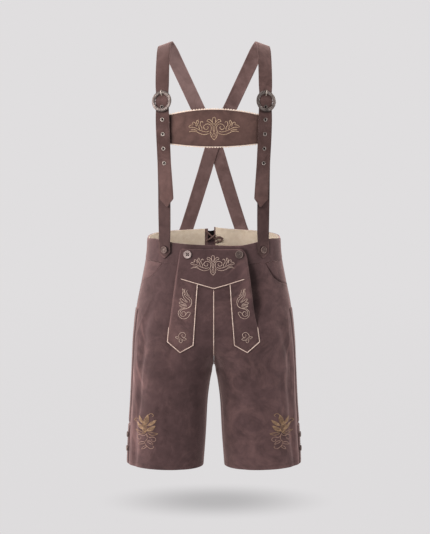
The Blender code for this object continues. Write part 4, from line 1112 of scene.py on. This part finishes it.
def strap_place(rows, seed):
    """A strap's face: flat, rolled down at its edges, with a shallow groove for the sewing."""
    wander = random.Random(seed)
    phases = [wander.uniform(0, math.tau) for _ in range(4)]
    last = len(rows) - 1

    def place(u, v, out):
        spot = np.rint(v * last).astype(int)
        row = rows[spot]
        share = np.interp(u, np.linspace(0, 1, len(ACROSS)), ACROSS)
        along = v * last * 2.4
        wave = 0.25 * np.sin(along / 31 + phases[0]) + 0.2 * np.sin(along / 17 + phases[1])
        wave = wave * ease(np.minimum(along, last * 2.4 - along) / 60 - 0.6)
        curl = 0.5 * share ** 2 * np.sin(along / 43 + phases[2]) * 0.6
        groove = -0.32 * np.exp(-((np.abs(share) - 0.85) / 0.05) ** 2)
        roll = -0.55 * np.abs(share) ** 14
        across = share * row[:, 9] / 2
        return (row[:, :3] + row[:, 3:6] * across[:, None]
                + row[:, 6:9] * (out + wave + curl + groove + roll)[:, None])

    return place


def strap(name, rows, seed, cut, material, inner, holes=None, marks=()):
    face = STRAP / 2
    place = strap_place(rows, seed)
    obj = cloth(name, place, len(ACROSS) - 1, len(rows) - 1, face, STRAP, material, "suede",
                [name], cut, inner=inner, marks=marks)
    if holes is not None:
        applied(obj, holes)
    threads = []
    for share in (-0.85, 0.85):
        column = np.interp(share, ACROSS, np.linspace(0, 1, len(ACROSS)))
        v = np.linspace(0, 1, len(rows))[3:-3]
        threads += stitches(place(np.full(len(v), column), v, face + 0.12))
    return threads


def lower_shade(side, holes):
    """The lower strap's painted shade under the brace's pointed end, behind the eyelets' holes and
    beside its button."""
    def strength(u, v, points):
        x, _, z = points.T
        half = np.interp(z, (-381, -364), (2, 17))
        away = np.maximum(np.abs(x - side * 107.6) - half, -381 - z)
        total = (0.45 if side < 0 else 0.6) * beside(away, 2.6 if side < 0 else 7)
        for hole in holes:
            near = np.hypot(x - hole.x / MM, z - hole.z / MM)
            total = np.maximum(total, 0.95 * beside(near - 2, 2.0))
        right, up = x - side * FRONT_TAB_X, z + 484.5
        lee = 0.8 * beside(np.hypot(right, up) - STRAP_BUTTON, 1.8) * ease((right + up) / 14 + 0.4)
        return np.maximum(total, lee)

    return strength


def lower_wear_and_highlight(side):
    """The lower strap's buttoned end, pale along its edges: partly rubbed wear, partly painted
    highlight.
    """
    def strength(u, v, points):
        x, _, z = points.T
        half = np.interp(z, (FRONT_TAB_POINT, FRONT_TAB_SHOULDER), (2, 16))
        inside = np.minimum(half - np.abs(x - side * FRONT_TAB_X), z - FRONT_TAB_POINT)
        return 1.6 * np.exp(-((inside - 1.6) / 1.6) ** 2) * ease((-462 - z) / 10)

    return strength


def ring_painted_shadow(side):
    """Painted shadow on the brace round the lower half of the ring."""
    def strength(u, v, points):
        x, y, z = points.T
        reach = np.hypot(x - side * 119.8, z - BUCKLE_HEIGHT)
        below = ease((BUCKLE_HEIGHT - z) / 16)
        return 0.75 * beside(np.abs(reach - 25.2), 2.2) * below * (y < 0)

    return strength


# Partly wear, partly painted highlight: the braces paler low in front, the right one above its
# buckle, the left one over the shoulder behind.
def brace_wear_and_highlight(side):
    def strength(u, v, points):
        _, y, z = points.T
        low = ease((-232 - z) / 70) * (y < 0)
        if side > 0:
            return 0.3 * low + 0.4 * ease((z + 130) / 20) * (y < 0)
        return 0.55 * low + 1.1 * ease((z + 190) / 60) * (y > 20)

    return strength


def chest_shade(u, v, points):
    """Painted shadow on the chest strap beside the left brace's edge."""
    return 0.8 * beside(np.abs(points[:, 0] + 100.5), 3.4)


brace_threads, tracks = [], {}
for half, side in SIDES:
    track, middle, rows = brace_cuts(side)
    places = []
    for drop in EYELET_DROPS:
        point, across, out, along = track.place(middle - drop)
        rise = np.interp(-drop, [r[0] for r in WEAVE], [r[1] for r in WEAVE])
        places.append(frame_at(point + out * (rise + STRAP / 2 + SEAM), across, along, out))
    tracks[side] = (track, middle, places)
    net = bmesh.new()
    for spot in places:
        bmesh.ops.create_cone(net, cap_ends=True, segments=20, radius1=2.9 * MM,
                              radius2=2.9 * MM, depth=9 * MM, matrix=spot)
    brace_threads += strap(f"brace_{half}", rows, 11 + side, (34.5, 1000, 0.97),
                           STRAP_SUEDE, FLESH_SIDE,
                           helper(net), marks=(("shade", ring_painted_shadow(side)), ("wear_and_highlight", brace_wear_and_highlight(side))))
    lower = Track(LOWER_PATH, side)
    cuts = []
    for z in np.linspace(FRONT_TAB_POINT, FRONT_TAB_TOP, 15):
        width = np.interp(z, (FRONT_TAB_POINT, FRONT_TAB_SHOULDER), (BLUNT, LOWER_WIDTH))
        at = tab_cut(side * FRONT_TAB_X, z, side * FRONT_TAB_X, z + 1, False)
        cuts.append(Cut(*at, width, LIFT + STRAP / 2))
    for mark in np.arange(0, lower.length + 3, 3.0):
        cuts.append(Cut(*lower.place(mark), LOWER_WIDTH, 0.0))
    brace_threads += strap(f"lower_strap_{half}", evened(cuts), 23 + side, (32, 372, 0.98),
                           SHADED_LOWER_SUEDE, None,
                           marks=(("shade", lower_shade(side, [s.translation for s in places])),
                                  ("wear_and_highlight", lower_wear_and_highlight(side))))
cords("strap_stitching", brace_threads, SEWING_THREAD, "suede", sides=0)

# ---------------------------------------------------------------- chest strap


def chest_place(u, v, out):
    x = CHEST_END * (2 * u - 1)
    top, low = chest_line(x, CHEST_TOP), chest_line(x, CHEST_BOTTOM)
    roll = -0.5 * np.abs(2 * v - 1) ** 26
    soft = 0.35 * np.sin(x / 23) * np.sin(v * 3)
    return on_chest(x, top + (low - top) * v, out + roll + soft)


cloth("chest_strap", chest_place, 100, 36, CHEST_SUEDE / 2, CHEST_SUEDE, CHEST_STRAP_SUEDE, "suede",
      ["chest_strap"], (276, 86, 0.86), edge=0.5, marks=(("shade", chest_shade),))
SCALLOP = 6.2
for name, edge, way in (("chest_trim_top", CHEST_TOP, 1), ("chest_trim_low", CHEST_BOTTOM, -1)):
    def trim_place(u, v, edge=edge, way=way):
        x = TRIM_REACH * (2 * u - 1)
        bump = np.abs(np.sin(np.pi * x / SCALLOP))
        shows = 0.5 + 2.8 * bump
        z = chest_line(x, edge) + way * (shows - (TRIM_WIDTH - 2) * v)
        return on_chest(x, z, -CHEST_SUEDE / 2 - 0.1)

    net = bmesh.new()
    lay(net, 420, 3, trim_place)
    obj = piece(name, net, EDGING_KID, "piping", name)
    wall = obj.modifiers.new("thickness", "SOLIDIFY")
    wall.thickness, wall.offset = TRIM_THICK * MM, 0

# ---------------------------------------------------------------- metal and buttons


def torus_net(net, outer, inner, thick, relief):
    """A ring whose skin is raised by relief(round, section), both in radians."""
    mid, half = (outer + inner) / 2, (outer - inner) / 2

    def place(u, v):
        round_, section = math.tau * u, math.tau * v
        grow = 1 + relief(round_, section)
        reach = mid + half * grow * np.cos(section)
        return np.stack((reach * np.cos(round_), reach * np.sin(round_),
                         thick / 2 * grow * np.sin(section)), -1)

    lay(net, 180, 14, place)
    bmesh.ops.remove_doubles(net, verts=net.verts, dist=1e-6)
    bmesh.ops.recalc_face_normals(net, faces=net.faces)


BARREL = 2.87


def chased(round_, section):
    """Chasing on the ring's front: slanted ropework between two smooth edges."""
    front = np.maximum(np.sin(section), 0) ** 0.7
    return front * (0.19 * np.sin(22 * round_ + 4.2 * np.cos(section))
                    + 0.10 * np.sin(13 * round_ - 5.0 * np.cos(section)))


for half, side in SIDES:
    track, middle, places = tracks[side]
    point, across, out, along = track.place(middle)
    stand = frame_at(point, across, along, out)
    lean = Matrix.Rotation(-math.atan(BUCKLE_LEAN), 4, "X")
    net = bmesh.new()
    torus_net(net, BUCKLE_OUTER + 0.2, BUCKLE_INNER - 1.7, BUCKLE_THICK, chased)
    bmesh.ops.transform(net, verts=net.verts,
                        matrix=stand @ Matrix.Translation((0, 0, BUCKLE_OUT * MM)) @ lean)
    bar = stand @ Matrix.Translation((0, 0, BAR_OUT * MM)) @ Matrix.Rotation(math.pi / 2, 4, "Y")
    bmesh.ops.create_cone(net, cap_ends=True, segments=20, radius1=BAR_RADIUS * MM,
                          radius2=BAR_RADIUS * MM, depth=(BUCKLE_OUTER + BUCKLE_INNER) * MM,
                          matrix=bar)
    piece(f"buckle_{half}", net, SILVER, "silver", f"buckle_{half}")
    route = []
    for rise, reach in PRONG_ROUTE:
        point, across, out, along = track.place(middle + rise)
        route.append(point + out * reach)
    cords(f"prong_{half}", [(smooth_run(route, 1.0), 1.35, 1.5)], BRIGHT_SILVER, "silver",
          f"prong_{half}", sides=3)
    profile = ((2.85, -2.7), (2.85, -0.1), (4.6, -0.1), (4.85, 0.15), (4.9, 0.5), (4.6, 0.85),
               (4.1, 1.05), (3.5, 1.0), (3.0, 0.8), (2.65, 0.35), (2.45, -0.2), (2.4, -2.7),
               (2.85, -2.7))
    for number, spot in enumerate(places, 1):
        net = bmesh.new()
        turned(net, profile, 28, spot)
        centre = spot.translation
        # The barrel's faces take the second, near-black finish: painted shade in the hole.
        for face in net.faces:
            away = face.calc_center_median() - centre
            face.material_index = int((away - spot.col[2].xyz * away.dot(spot.col[2].xyz)).length
                                      < BARREL * MM)
        # The right brace's eyelets take the darker copy of the brass, a painted shade.
        metal = SILVER if number == 1 else NICKEL if side < 0 else NICKEL_PAINTED_SHADE
        eyelet = piece(f"eyelet_{half}_{number}", net, metal, "silver",
                       f"eyelet_{half}_{number}", smooth=60)
        eyelet.data.materials.append(HOLE_SHADE_BLACK)

DOMED = ((0, 3.1), (0.18, 3.0), (0.3, 2.5), (0.42, 2.1), (0.6, 2.0), (0.7, 2.15), (0.76, 2.75),
         (0.84, 3.0), (0.93, 2.8), (1.0, 2.2), (1.0, 1.4), (0.92, 0.6), (0.6, 0.05), (0, 0.05))
RINGED = ((0, 2.6), (0.16, 2.5), (0.24, 1.9), (0.36, 1.7), (0.46, 2.3), (0.54, 2.3), (0.62, 1.7),
          (0.74, 1.9), (0.84, 3.0), (0.92, 3.0), (0.98, 2.2), (1.0, 1.7), (0.95, 0.9), (0.75, 0.2),
          (0, 0.05))
DISHED = ((0, 1.75), (0.35, 1.75), (0.6, 1.85), (0.7, 2.2), (0.8, 2.65), (0.9, 2.7),
          (0.98, 2.3), (1.0, 1.7), (0.95, 0.9), (0.75, 0.2), (0, 0.05))


def button(name, shape, radius, place, material, slot, holes):
    """A turned button, dark in its hollows by painted shade (on cast zinc also its blackening), with
    sewing holes where it has them.
    """
    net = bmesh.new()
    mark = net.verts.layers.float.new("shade")
    turned(net, [(share * radius, height) for share, height in shape], 40, Matrix())
    peak = max(height for _, height in shape)
    for vert in net.verts:
        hollow = (peak - vert.co.z / MM - 0.25) / 0.9
        inside = vert.co.xy.length < 0.86 * radius * MM and not holes
        vert[mark] = 0.62 * float(ease(hollow)) * inside
    bmesh.ops.transform(net, matrix=place, verts=net.verts)
    obj = piece(name, net, material, slot, name)
    if holes:
        net = bmesh.new()
        for number in range(holes):
            angle = math.tau * (number + 0.5) / holes
            spot = Matrix.Translation((2.8 * MM * math.cos(angle), 2.8 * MM * math.sin(angle), 0))
            bmesh.ops.create_cone(net, cap_ends=True, segments=12, radius1=1.7 * MM,
                                  radius2=1.7 * MM, depth=12 * MM, matrix=place @ spot)
        applied(obj, helper(net))
        obj.data.set_sharp_from_angle(angle=math.radians(50))
    return obj


OVER_TAB = LIFT + STRAP + SEAM
for half, side in SIDES:
    button(f"strap_button_{half}", RINGED, STRAP_BUTTON,
           seat(on_face, side * FRONT_TAB_X, -484.5, OVER_TAB), DARK_HORN, "silver", 0)
    back_x = side * (BACK_TAB_TOP[0] + BACK_TAB_POINT[0]) / 2
    button(f"back_button_{half}", DOMED, STRAP_BUTTON,
           seat(lambda x, z, out: on_face(x, z, out, True), back_x, -478, OVER_TAB),
           DARK_HORN, "silver", 0)
    flap_seat = seat(on_flap, side * FLAP_BUTTON_X, FLAP_BUTTON_Z, FLAP_FACE + SEAM)
    button(f"flap_button_{half}", DISHED if side < 0 else RINGED, FLAP_BUTTON, flap_seat,
           PALE_HORN if side < 0 else DARK_SILVER, "horn" if side < 0 else "silver",
           4 if side < 0 else 0)
    for number, height in enumerate((-936, -970.5), 1):
        spot = seat(lambda x, z, out: skin(side, x, z, out), 168, height,
                    LIFT + HEM_PLACKET.thickness + SEAM)
        button(f"hem_button_{half}_{number}", DOMED, HEM_BUTTON, spot, DARK_SILVER, "silver", 0)

# ---------------------------------------------------------------- lace

lining_face = -SUEDE - SEAM - LINING
# Each lace strand's ends: x and z at its left, then at its right.
STRANDS = {"inner_falling": ((-20.5, -453), (3.5, -474)), "inner_rising": ((-20.5, -479), (4, -462)),
           "outer_falling": ((-28, -463), (10, -480)), "outer_rising": ((-28, -480), (10, -463))}
for name, (start, end) in STRANDS.items():
    inner = name.startswith("inner")
    rest = lining_face - SEAM - LACE / 2 if inner else SEAM + LACE / 2
    bulge = (LACE + SEAM) * (-1 if inner else 1) * name.endswith("rising")
    flat = line(start, end, 24)
    run = on_face(flat[:, 0], flat[:, 1],
                  rest + bulge * np.sin(np.linspace(0, math.pi, 25)) ** 2, back=True)
    cords("lace_" + name, [(run, LACE / 2, 1)], LACE_LEATHER, "lace", "lace_" + name, sides=3)
turns = np.radians(np.linspace(195, -115, 40))
loop = np.stack((BOW_MIDDLE[0] + BOW_REACH[0] * np.cos(turns),
                 BOW_MIDDLE[1] + BOW_REACH[1] * np.sin(turns)), -1)
tail = line((BOW_MIDDLE[0] - 4.4, BOW_MIDDLE[1] - 5.6), (5.2, -484), 4)
bow = on_face(*np.concatenate((loop, tail)).T, lining_face - SEAM - BOW_CORD / 2, back=True)
cords("lace_bow", [(bow, BOW_CORD / 2, 1)], LACE_LEATHER, "lace", "lace_bow", sides=3)

# ---------------------------------------------------------------- sewing on the breeches


def edge_run(points, surface, out):
    flat = np.array(points, float)
    return surface(flat[:, 0], flat[:, 1], out)


threads = []
for half, side in SIDES:
    on_side = lambda turn, height, out: skin(side, turn, height, out)
    # band: a row under its top edge and one above its seam
    slot_edge = SLOT_LEFT if side < 0 else SLOT_RIGHT
    band = band_place(side, slot_edge, WAIST, BAND_SEAM)
    share = np.linspace(0.002, 0.998, 260)
    for v in (0.07, 0.94):
        threads += stitches(band(share, np.full(260, v), 0.1))
    # side seam: two rows on the front's edge; hem: one row
    heights = np.linspace(-572, -1004, 240)
    for turn in (178.0, 176.3):
        threads += stitches(on_side(np.full(240, turn), heights[heights > -2000], 0.1))
    around = np.linspace(3, 357, 300)
    threads += stitches(on_side(around, np.full(300, -998.0), 0.1))
    # pocket mouth
    mouth = np.linspace(136, 179, 50)
    low = np.interp(mouth, *zip(*MOUTH[side])) - 5
    threads += stitches(on_side(mouth, low, 0.1))
    # welt, placket
    for strip in (SIDE_WELT, HEM_PLACKET):
        count = 120
        out = LIFT + strip.thickness + 0.1
        for turn in (strip.first_turn + 1.0, strip.last_turn - 1.0):
            threads += stitches(on_side(np.full(count, turn),
                                        np.linspace(strip.top - 2, strip.bottom + 2, count), out))
    # seat: two rows beside the middle seam behind
    heights = np.linspace(-512, -750, 120)
    middle_back = 360 - turn_at(4.0, heights)
    threads += stitches(on_side(middle_back, heights, 0.1))
    middle_front = turn_at(5.0, heights)
    threads += stitches(on_side(middle_front[heights < -580], heights[heights < -580], 0.1))
cords("breeches_stitching", threads, SEWING_THREAD, "suede", sides=0)

threads = []
yoke_edge = [(-88, -545), (-80.2, -494), (-77, -485), (-71, -483), (64, -483), (69, -485),
             (73.4, -490.5), (76.6, -500), (78.6, -509), (88, -545)]
threads += stitches(on_flap_run([(x * 0.972, z) for x, z in yoke_edge], FLAP_FACE + 0.1))
for side in (-1, 1):
    outer = [(side * 87.5, -553), (side * 104.5, -664)]
    threads += stitches(on_flap_run(outer, FLAP_FACE + 0.1))
    inside = [(103.5, -664), (104.5, -696), (79, -717.5), (54.5, -702.5), (42.8, -566)]
    threads += stitches(on_flap_run([(side * x, z) for x, z in inside], FLAP_FACE + 0.1))
for way in (1, -1):
    route = [(x, v_line(x) + way * 3.2) for x in (-78, -40, 0, 40, 78)]
    threads += stitches(on_flap_run(route, FLAP_FACE + 0.1))
for side in (-1, 1):
    threads += stitches(on_flap_run([(side * 53.5, -667), (side * 101, -664)], FLAP_FACE + 0.1))
for side in (-1, 1):
    hole_end = line((side * 61 + 4, -499), (side * 61 + 11.5, -505.5), 6)
    threads.append((on_flap(hole_end[:, 0], hole_end[:, 1], FLAP_FACE), 0.8, 2.0))
crossing = line((-62.8, -490.6), (-59.2, -496.4), 4)
threads.append((on_flap(crossing[:, 0], crossing[:, 1], FLAP_FACE + SEAM + 1.9), 0.5, 1.0))
cords("flap_stitching", threads, SEWING_THREAD, "suede", sides=0)

x = np.linspace(-128, 128, 200)
threads = []
for edge, way in ((CHEST_TOP, -1), (CHEST_BOTTOM, 1)):
    threads += stitches(on_chest(x, chest_line(x, edge) + way * 3.0, CHEST_SUEDE / 2 + 0.1))
cords("chest_stitching", threads, SEWING_THREAD, "suede", sides=0)

# ---------------------------------------------------------------- embroidery


def spiral(centre, first, last, start, end):
    """A scroll: its radius grows from first to last between two angles in degrees."""
    angles = np.radians(np.linspace(start, end, max(int(abs(end - start) / 18), 4)))
    radii = np.linspace(first, last, len(angles))
    return [(centre[0] + r * math.cos(a), centre[1] + r * math.sin(a))
            for a, r in zip(angles, radii)]


def leaf(base, tip, belly, lean=0.0):
    """A closed pointed leaf from its base to its tip; lean shifts its belly to one side."""
    base, tip = np.array(base, float), np.array(tip, float)
    along = tip - base
    across = np.array((-along[1], along[0])) / max(np.linalg.norm(along), 1e-6)
    sides = []
    for way in (1, -1):
        bulge = belly * way + lean
        sides.append([base + along * s + across * bulge * w
                      for s, w in ((0.2, 0.7), (0.45, 1.0), (0.75, 0.68), (0.92, 0.25))])
    return [tuple(p) for p in [base, *sides[0], tip, *sides[1][::-1], base]]


def mirrored(strokes):
    return strokes + [[(-x, z) for x, z in stroke] for stroke in strokes]


PALMETTE = mirrored([
    [(0, 9.4), (2.4, 13), (4.0, 18), (3.8, 22.6), (1.9, 26.4), (0, 27.6)],
    [(2.4, 12.4), (5.2, 17), (8.8, 20.8), (12.8, 21.8), (15.8, 19.4), (14.8, 16.6), (11, 15.8),
     (7.2, 12.6), (3.2, 8.2), (1.6, 5)],
    [(1.8, 8), (2.2, 2), (1.4, -4), (0, -9)],
    [(0, -9.4), (2.7, -12.6), (2.6, -16.4), (0, -19)],
    [(4.6, -7.4), (7.4, -11.2), (5.8, -18.4), (0, -26)],
    [(9.3, -9.7), (7, -4), (6, 3), (8.3, 8.8), (14, 11.6), (20.3, 10), (24, 5), (22.4, 0.4),
     (18, -1.4), (14.2, 0.4), (13.6, 4.2), (16.6, 5.8)],
    [(10.4, -4.6), (16.2, -6.8), (23.2, -6.2), (30.2, -4), (37.1, -0.8), (44.1, 2.4), (51, 3.8),
     (57.6, 3)],
    [(9.3, -9.7), (16, -12.2), (24.4, -13.2), (31.3, -11.2), (41.8, -6.3), (50, -5.2),
     (58.6, -7.2)],
    [(38, -5), (46, -1.4), (54, -1.8)],
    [(58.6, 3.6), (56.8, 7.2), (52.6, 8.8), (48.2, 10.2), (49.6, 14.2), (46.2, 15.4),
     (42.6, 12.6), (40.8, 8.6)],
    [(42.4, 6), (41.2, 12), (39.8, 17.4), (37, 20.4), (36, 16), (38, 10.4), (40.4, 5.2)],
    [(33, -1.6), (35, 4.6), (34.2, 10.4)],
    [(27.8, -3), (28, 3), (31, 8), (32, 12.8), (29.4, 16.8), (25.8, 16.4), (26, 13.4)],
])
TAB_FLAME = [
    [(-3.6, 36.6), (-1.9, 30.7), (-3.4, 24.1), (-0.9, 16.1), (4.2, 8.8), (9.6, 3.7)],
    [(-3.6, 36.6), (0.4, 33), (0.1, 27), (1.8, 20.4), (7.2, 14.2), (13.3, 9.2), (14.4, 3.7)],
    [(2.8, 36.2), (1.8, 29.9), (5, 22.2), (11.3, 17.2), (17, 12), (18.4, 3.7), (16.8, -3),
     (11.3, -8), (5, -11.4)],
    [(7.2, 34.2), (6.7, 28.5), (9.2, 23), (13.4, 18.6)],
    [(5.7, -1.3), (-1.6, 2.4), (-6.7, 7.8), (-9.4, 11), (-6, 12.2), (-1.6, 9), (7.2, 3.2)],
    [(7.2, -3.6), (-1.6, -1.4), (-7.4, -0.7), (-11.3, 1.2), (-8.9, 4.4), (-3.8, 2.4)],
    [(7.2, -5.4), (-1.6, -4), (-7.4, -5.1), (-10.4, -3.9), (-7.4, -7), (-1.6, -8), (7.2, -6.6)],
    [(18.4, 3.7), (15.6, -5), (8.6, -10), (0, -11), (-8.7, -13.1), (-13.1, -19.7),
     (-12.4, -28.2), (-6.7, -34), (1.3, -35.4), (9.2, -31.8), (13.5, -25.6), (16, -21)],
    [(5, -11.4), (-3.1, -13.1), (-8.7, -18.3), (-8.8, -25.6), (-3.8, -29.8), (2.8, -27.7),
     (4.2, -22.6), (0.6, -18.4), (-3.8, -19), (-5.2, -23.2), (-2.3, -25.4)],
    [(4.8, -27), (5.7, -22.6), (11.2, -19), (16, -21)],
]
SPRIG = [
    [(-1.5, 2), (-3.4, 7.4), (-0.5, 13.2), (5, 16), (11, 14.6), (13.6, 10.4), (12.8, 6.4),
     (9.6, 3.6), (5.6, 5), (4.6, 9.2), (7.2, 11.4)],
    [(-1.5, 2), (-6, 5.4), (-11.4, 4), (-8, 1.2), (-3.6, -0.4), (-1.5, 2)],
    [(0, 0), (-2.2, -4.6), (-0.4, -8.4), (2.6, -9.6), (5.3, -6.4), (5.5, -1.4)],
    [(5.5, -1.4), (9.4, -3.6), (15.2, -1), (12.2, 2.4), (8, 2.4)],
    [(1, 3), (3, -2), (2.4, -6)],
]


def satin(base, tip, belly, lean=0.0):
    """A leaf worked solid: its outline and rows of thread inside it."""
    return [leaf(base, tip, belly * share, lean) for share in (1.0, 0.6, 0.22)]


BRANCH = (
    satin((-2, -6), (-4, 22), 5.2, 1.2) + satin((-5, 12), (3, 38), 4.4, -1.4)
    + satin((-3, 2), (-20, 17), 3.6, 1.2) + satin((0, -1), (17, 13), 4.0, -1.2)
    + satin((2, 12), (19, 27), 3.0, -1.0) + satin((-6, 16), (-15, 33), 2.8, 1.0)
) + [
    leaf((-3, -8), (-23, -2), 3.0, 1.0),
    leaf((3, -6), (22, -6), 3.0, -1.0),
    [(3, 37), (9, 42), (14, 38), (11, 34)],
    [(-20, 17), (-24, 21), (-21, 25), (-18, 23)],
]
CURLS = [
    spiral((-13, -18), 1.8, 8.0, 400, 40) + [(-2, -10), (0, -6)],
    spiral((13, -20), 1.8, 7.4, 140, 500) + [(3, -13), (0, -6)],
    [(0, -8), (2, -18), (-3, -28), (2, -38), (9, -42), (14, -38), (12, -34)],
    leaf((1, -24), (13, -31), 2.6, 0.8),
    leaf((-2, -28), (-16, -34), 2.8, -0.8),
    leaf((1, -36), (-9, -45), 2.2, -0.6),
]


CHAIN_STITCH = 3.6


def embroider(strokes, surface, middle, scale=1.0, flip=1, radius=0.8, out=0.0, wide=1.0):
    """Chain stitch along strokes drawn about a middle, half sunk in the leather."""
    runs = []
    for stroke in strokes:
        flat = smooth_run([(flip * x * scale * wide, z * scale) for x, z in stroke], 0.9)
        points = surface(middle[0] + flat[:, 0], middle[1] + flat[:, 1], out)
        swell = np.abs(np.sin(np.arange(len(points)) * 0.9 * math.pi / CHAIN_STITCH))
        runs.append((points, radius * (0.62 + 0.55 * swell), 2.5))
    return runs


cords("embroidery_chest", embroider(PALMETTE, on_chest, (0.4, -200.2), radius=0.72,
                                    out=CHEST_SUEDE / 2 + 0.2),
      GOLD_THREAD, "piping", sides=1)
cords("embroidery_yoke", embroider(PALMETTE, on_flap, (-2, -519), 0.88, radius=0.68,
                                   out=FLAP_FACE + 0.2),
      TAN_THREAD, "piping", sides=1)
for half, side in SIDES:
    outwards = 4.4 if side > 0 else 0
    runs = embroider(TAB_FLAME, on_flap, (side * 69.5 + outwards, -609), 0.98, -side, 0.62,
                     FLAP_FACE + 0.2)
    runs += embroider(SPRIG, on_flap, (side * 79 + outwards * 0.4, -691), 0.95, -side, 0.6,
                      FLAP_FACE + 0.2)
    cords(f"embroidery_tab_{half}", runs, TAN_THREAD, "piping", sides=1)
    on_leg = lambda x, z, out: on_face(x, z, out)
    cords(f"embroidery_leg_{half}",
          embroider(BRANCH, on_leg, (side * 160, -914), 1.0, -side, 0.64, 0.25, 1.26),
          OLIVE_THREAD, "piping", sides=1)
    cords(f"embroidery_curls_{half}",
          embroider(CURLS, on_leg, (side * 160, -915), 1.0, -side, 0.66, 0.25, 1.26),
          ROSE_THREAD, "piping", sides=1)

# ---------------------------------------------------------------- floor, light and camera

FLOOR = -1.106
SHADOW_REACH, SHADOW_MIDDLE = (0.275, 0.205), (0.005, 0.018)

net = bmesh.new()
bmesh.ops.create_grid(net, x_segments=1, y_segments=1, size=20)
bmesh.ops.translate(net, verts=net.verts, vec=(0, 0, FLOOR))
floor_mesh = bpy.data.meshes.new("floor")
net.to_mesh(floor_mesh)
net.free()
floor = bpy.data.objects.new("floor", floor_mesh)
bpy.context.scene.collection.objects.link(floor)
# Painted studio floor, lit evenly: it glows at one level, with a soft pool of shade below.
paper = bpy.data.materials.new("painted_studio_floor")
paper.use_nodes = True
tree = paper.node_tree
tree.nodes.clear()
coords = add(tree, "TexCoord")
pool = add(tree, "Mapping", {"Location": (-SHADOW_MIDDLE[0] / SHADOW_REACH[0],
                                          -SHADOW_MIDDLE[1] / SHADOW_REACH[1], -FLOOR / 0.3),
                             "Scale": (1 / SHADOW_REACH[0], 1 / SHADOW_REACH[1], 1 / 0.3)},
           {"Vector": coords.outputs["Object"]})
away = add(tree, "VectorMath", {"operation": "LENGTH"}, {0: pool.outputs[0]})
shade = add(tree, "MapRange", {"interpolation_type": "SMOOTHSTEP", "From Min": 0.1,
                               "From Max": 1.1, "To Min": 0.664, "To Max": 1.0},
            {"Value": away.outputs["Value"]})
depth = add(tree, "SeparateXYZ", None, {"Vector": coords.outputs["Object"]})
level = add(tree, "MapRange", {"From Max": 5.0, "To Min": 0.7305, "To Max": 0.7454},
            {"Value": depth.outputs["Y"]})
level = add(tree, "Math", {"operation": "MULTIPLY"}, {0: level.outputs[0], 1: shade.outputs[0]})
glow = add(tree, "Emission", {"Color": (1.0, 0.98, 0.99, 1)}, {"Strength": level.outputs[0]})
out = add(tree, "OutputMaterial", None, {"Surface": glow.outputs[0]})
floor.data.materials.append(paper)

world = bpy.data.worlds.new("studio")
bpy.context.scene.world = world
world.use_nodes = True
tree = world.node_tree
tree.nodes.clear()
seen = add(tree, "Background", {"Color": (1.0, 0.98, 0.99, 1), "Strength": 0.7454})
fill = add(tree, "Background", {"Color": (1.0, 0.97, 0.985, 1), "Strength": 0.48})
path = add(tree, "LightPath")
mix = add(tree, "MixShader", None, {0: path.outputs["Is Camera Ray"], 1: fill.outputs[0],
                                    2: seen.outputs[0]})
add(tree, "OutputWorld", None, {"Surface": mix.outputs[0]})


def soft_light(name, place, aim, size, power, colour):
    data = bpy.data.lights.new(name, "AREA")
    data.shape, data.size, data.energy, data.color = "DISK", size, power, colour
    lamp = bpy.data.objects.new(name, data)
    lamp.location = place
    lamp.rotation_euler = (Vector(aim) - Vector(place)).to_track_quat("-Z", "Y").to_euler()
    bpy.context.scene.collection.objects.link(lamp)


soft_light("key", (-2.4, -2.8, 1.0), (0, 0, -0.55), 0.9, 82, (1.0, 0.97, 0.96))
soft_light("left_side", (-3.2, -0.9, 0.2), (0, 0, -0.6), 1.2, 40, (1.0, 0.95, 0.95))
soft_light("left_rim", (-2.4, 0.5, 0.1), (-0.1, 0, -0.65), 1.2, 55, (1.0, 0.93, 0.93))
soft_light("right_rim", (2.6, 0.2, 0.3), (0.1, 0, -0.65), 1.2, 26, (1.0, 0.97, 0.97))
soft_light("fill", (2.2, -2.6, 0.3), (0, 0, -0.6), 2.0, 20, (0.98, 0.98, 1.0))
soft_light("top", (0, 0.2, 2.0), (0, 0, -0.5), 1.6, 26, (1.0, 0.99, 0.98))

camera_data = bpy.data.cameras.new("camera")
camera_data.sensor_width, camera_data.lens = 36, 1882.68 / 534 * 36
camera_data.clip_start, camera_data.clip_end = 0.1, 100
camera = bpy.data.objects.new("camera", camera_data)
camera.location = (0.00264, -4.5, -0.125)
camera.rotation_euler = (math.radians(90 - 5.178), 0, 0)
bpy.context.scene.collection.objects.link(camera)
bpy.context.scene.camera = camera
bpy.context.scene.view_settings.view_transform = "Standard"
bpy.context.scene.view_settings.look = "None"
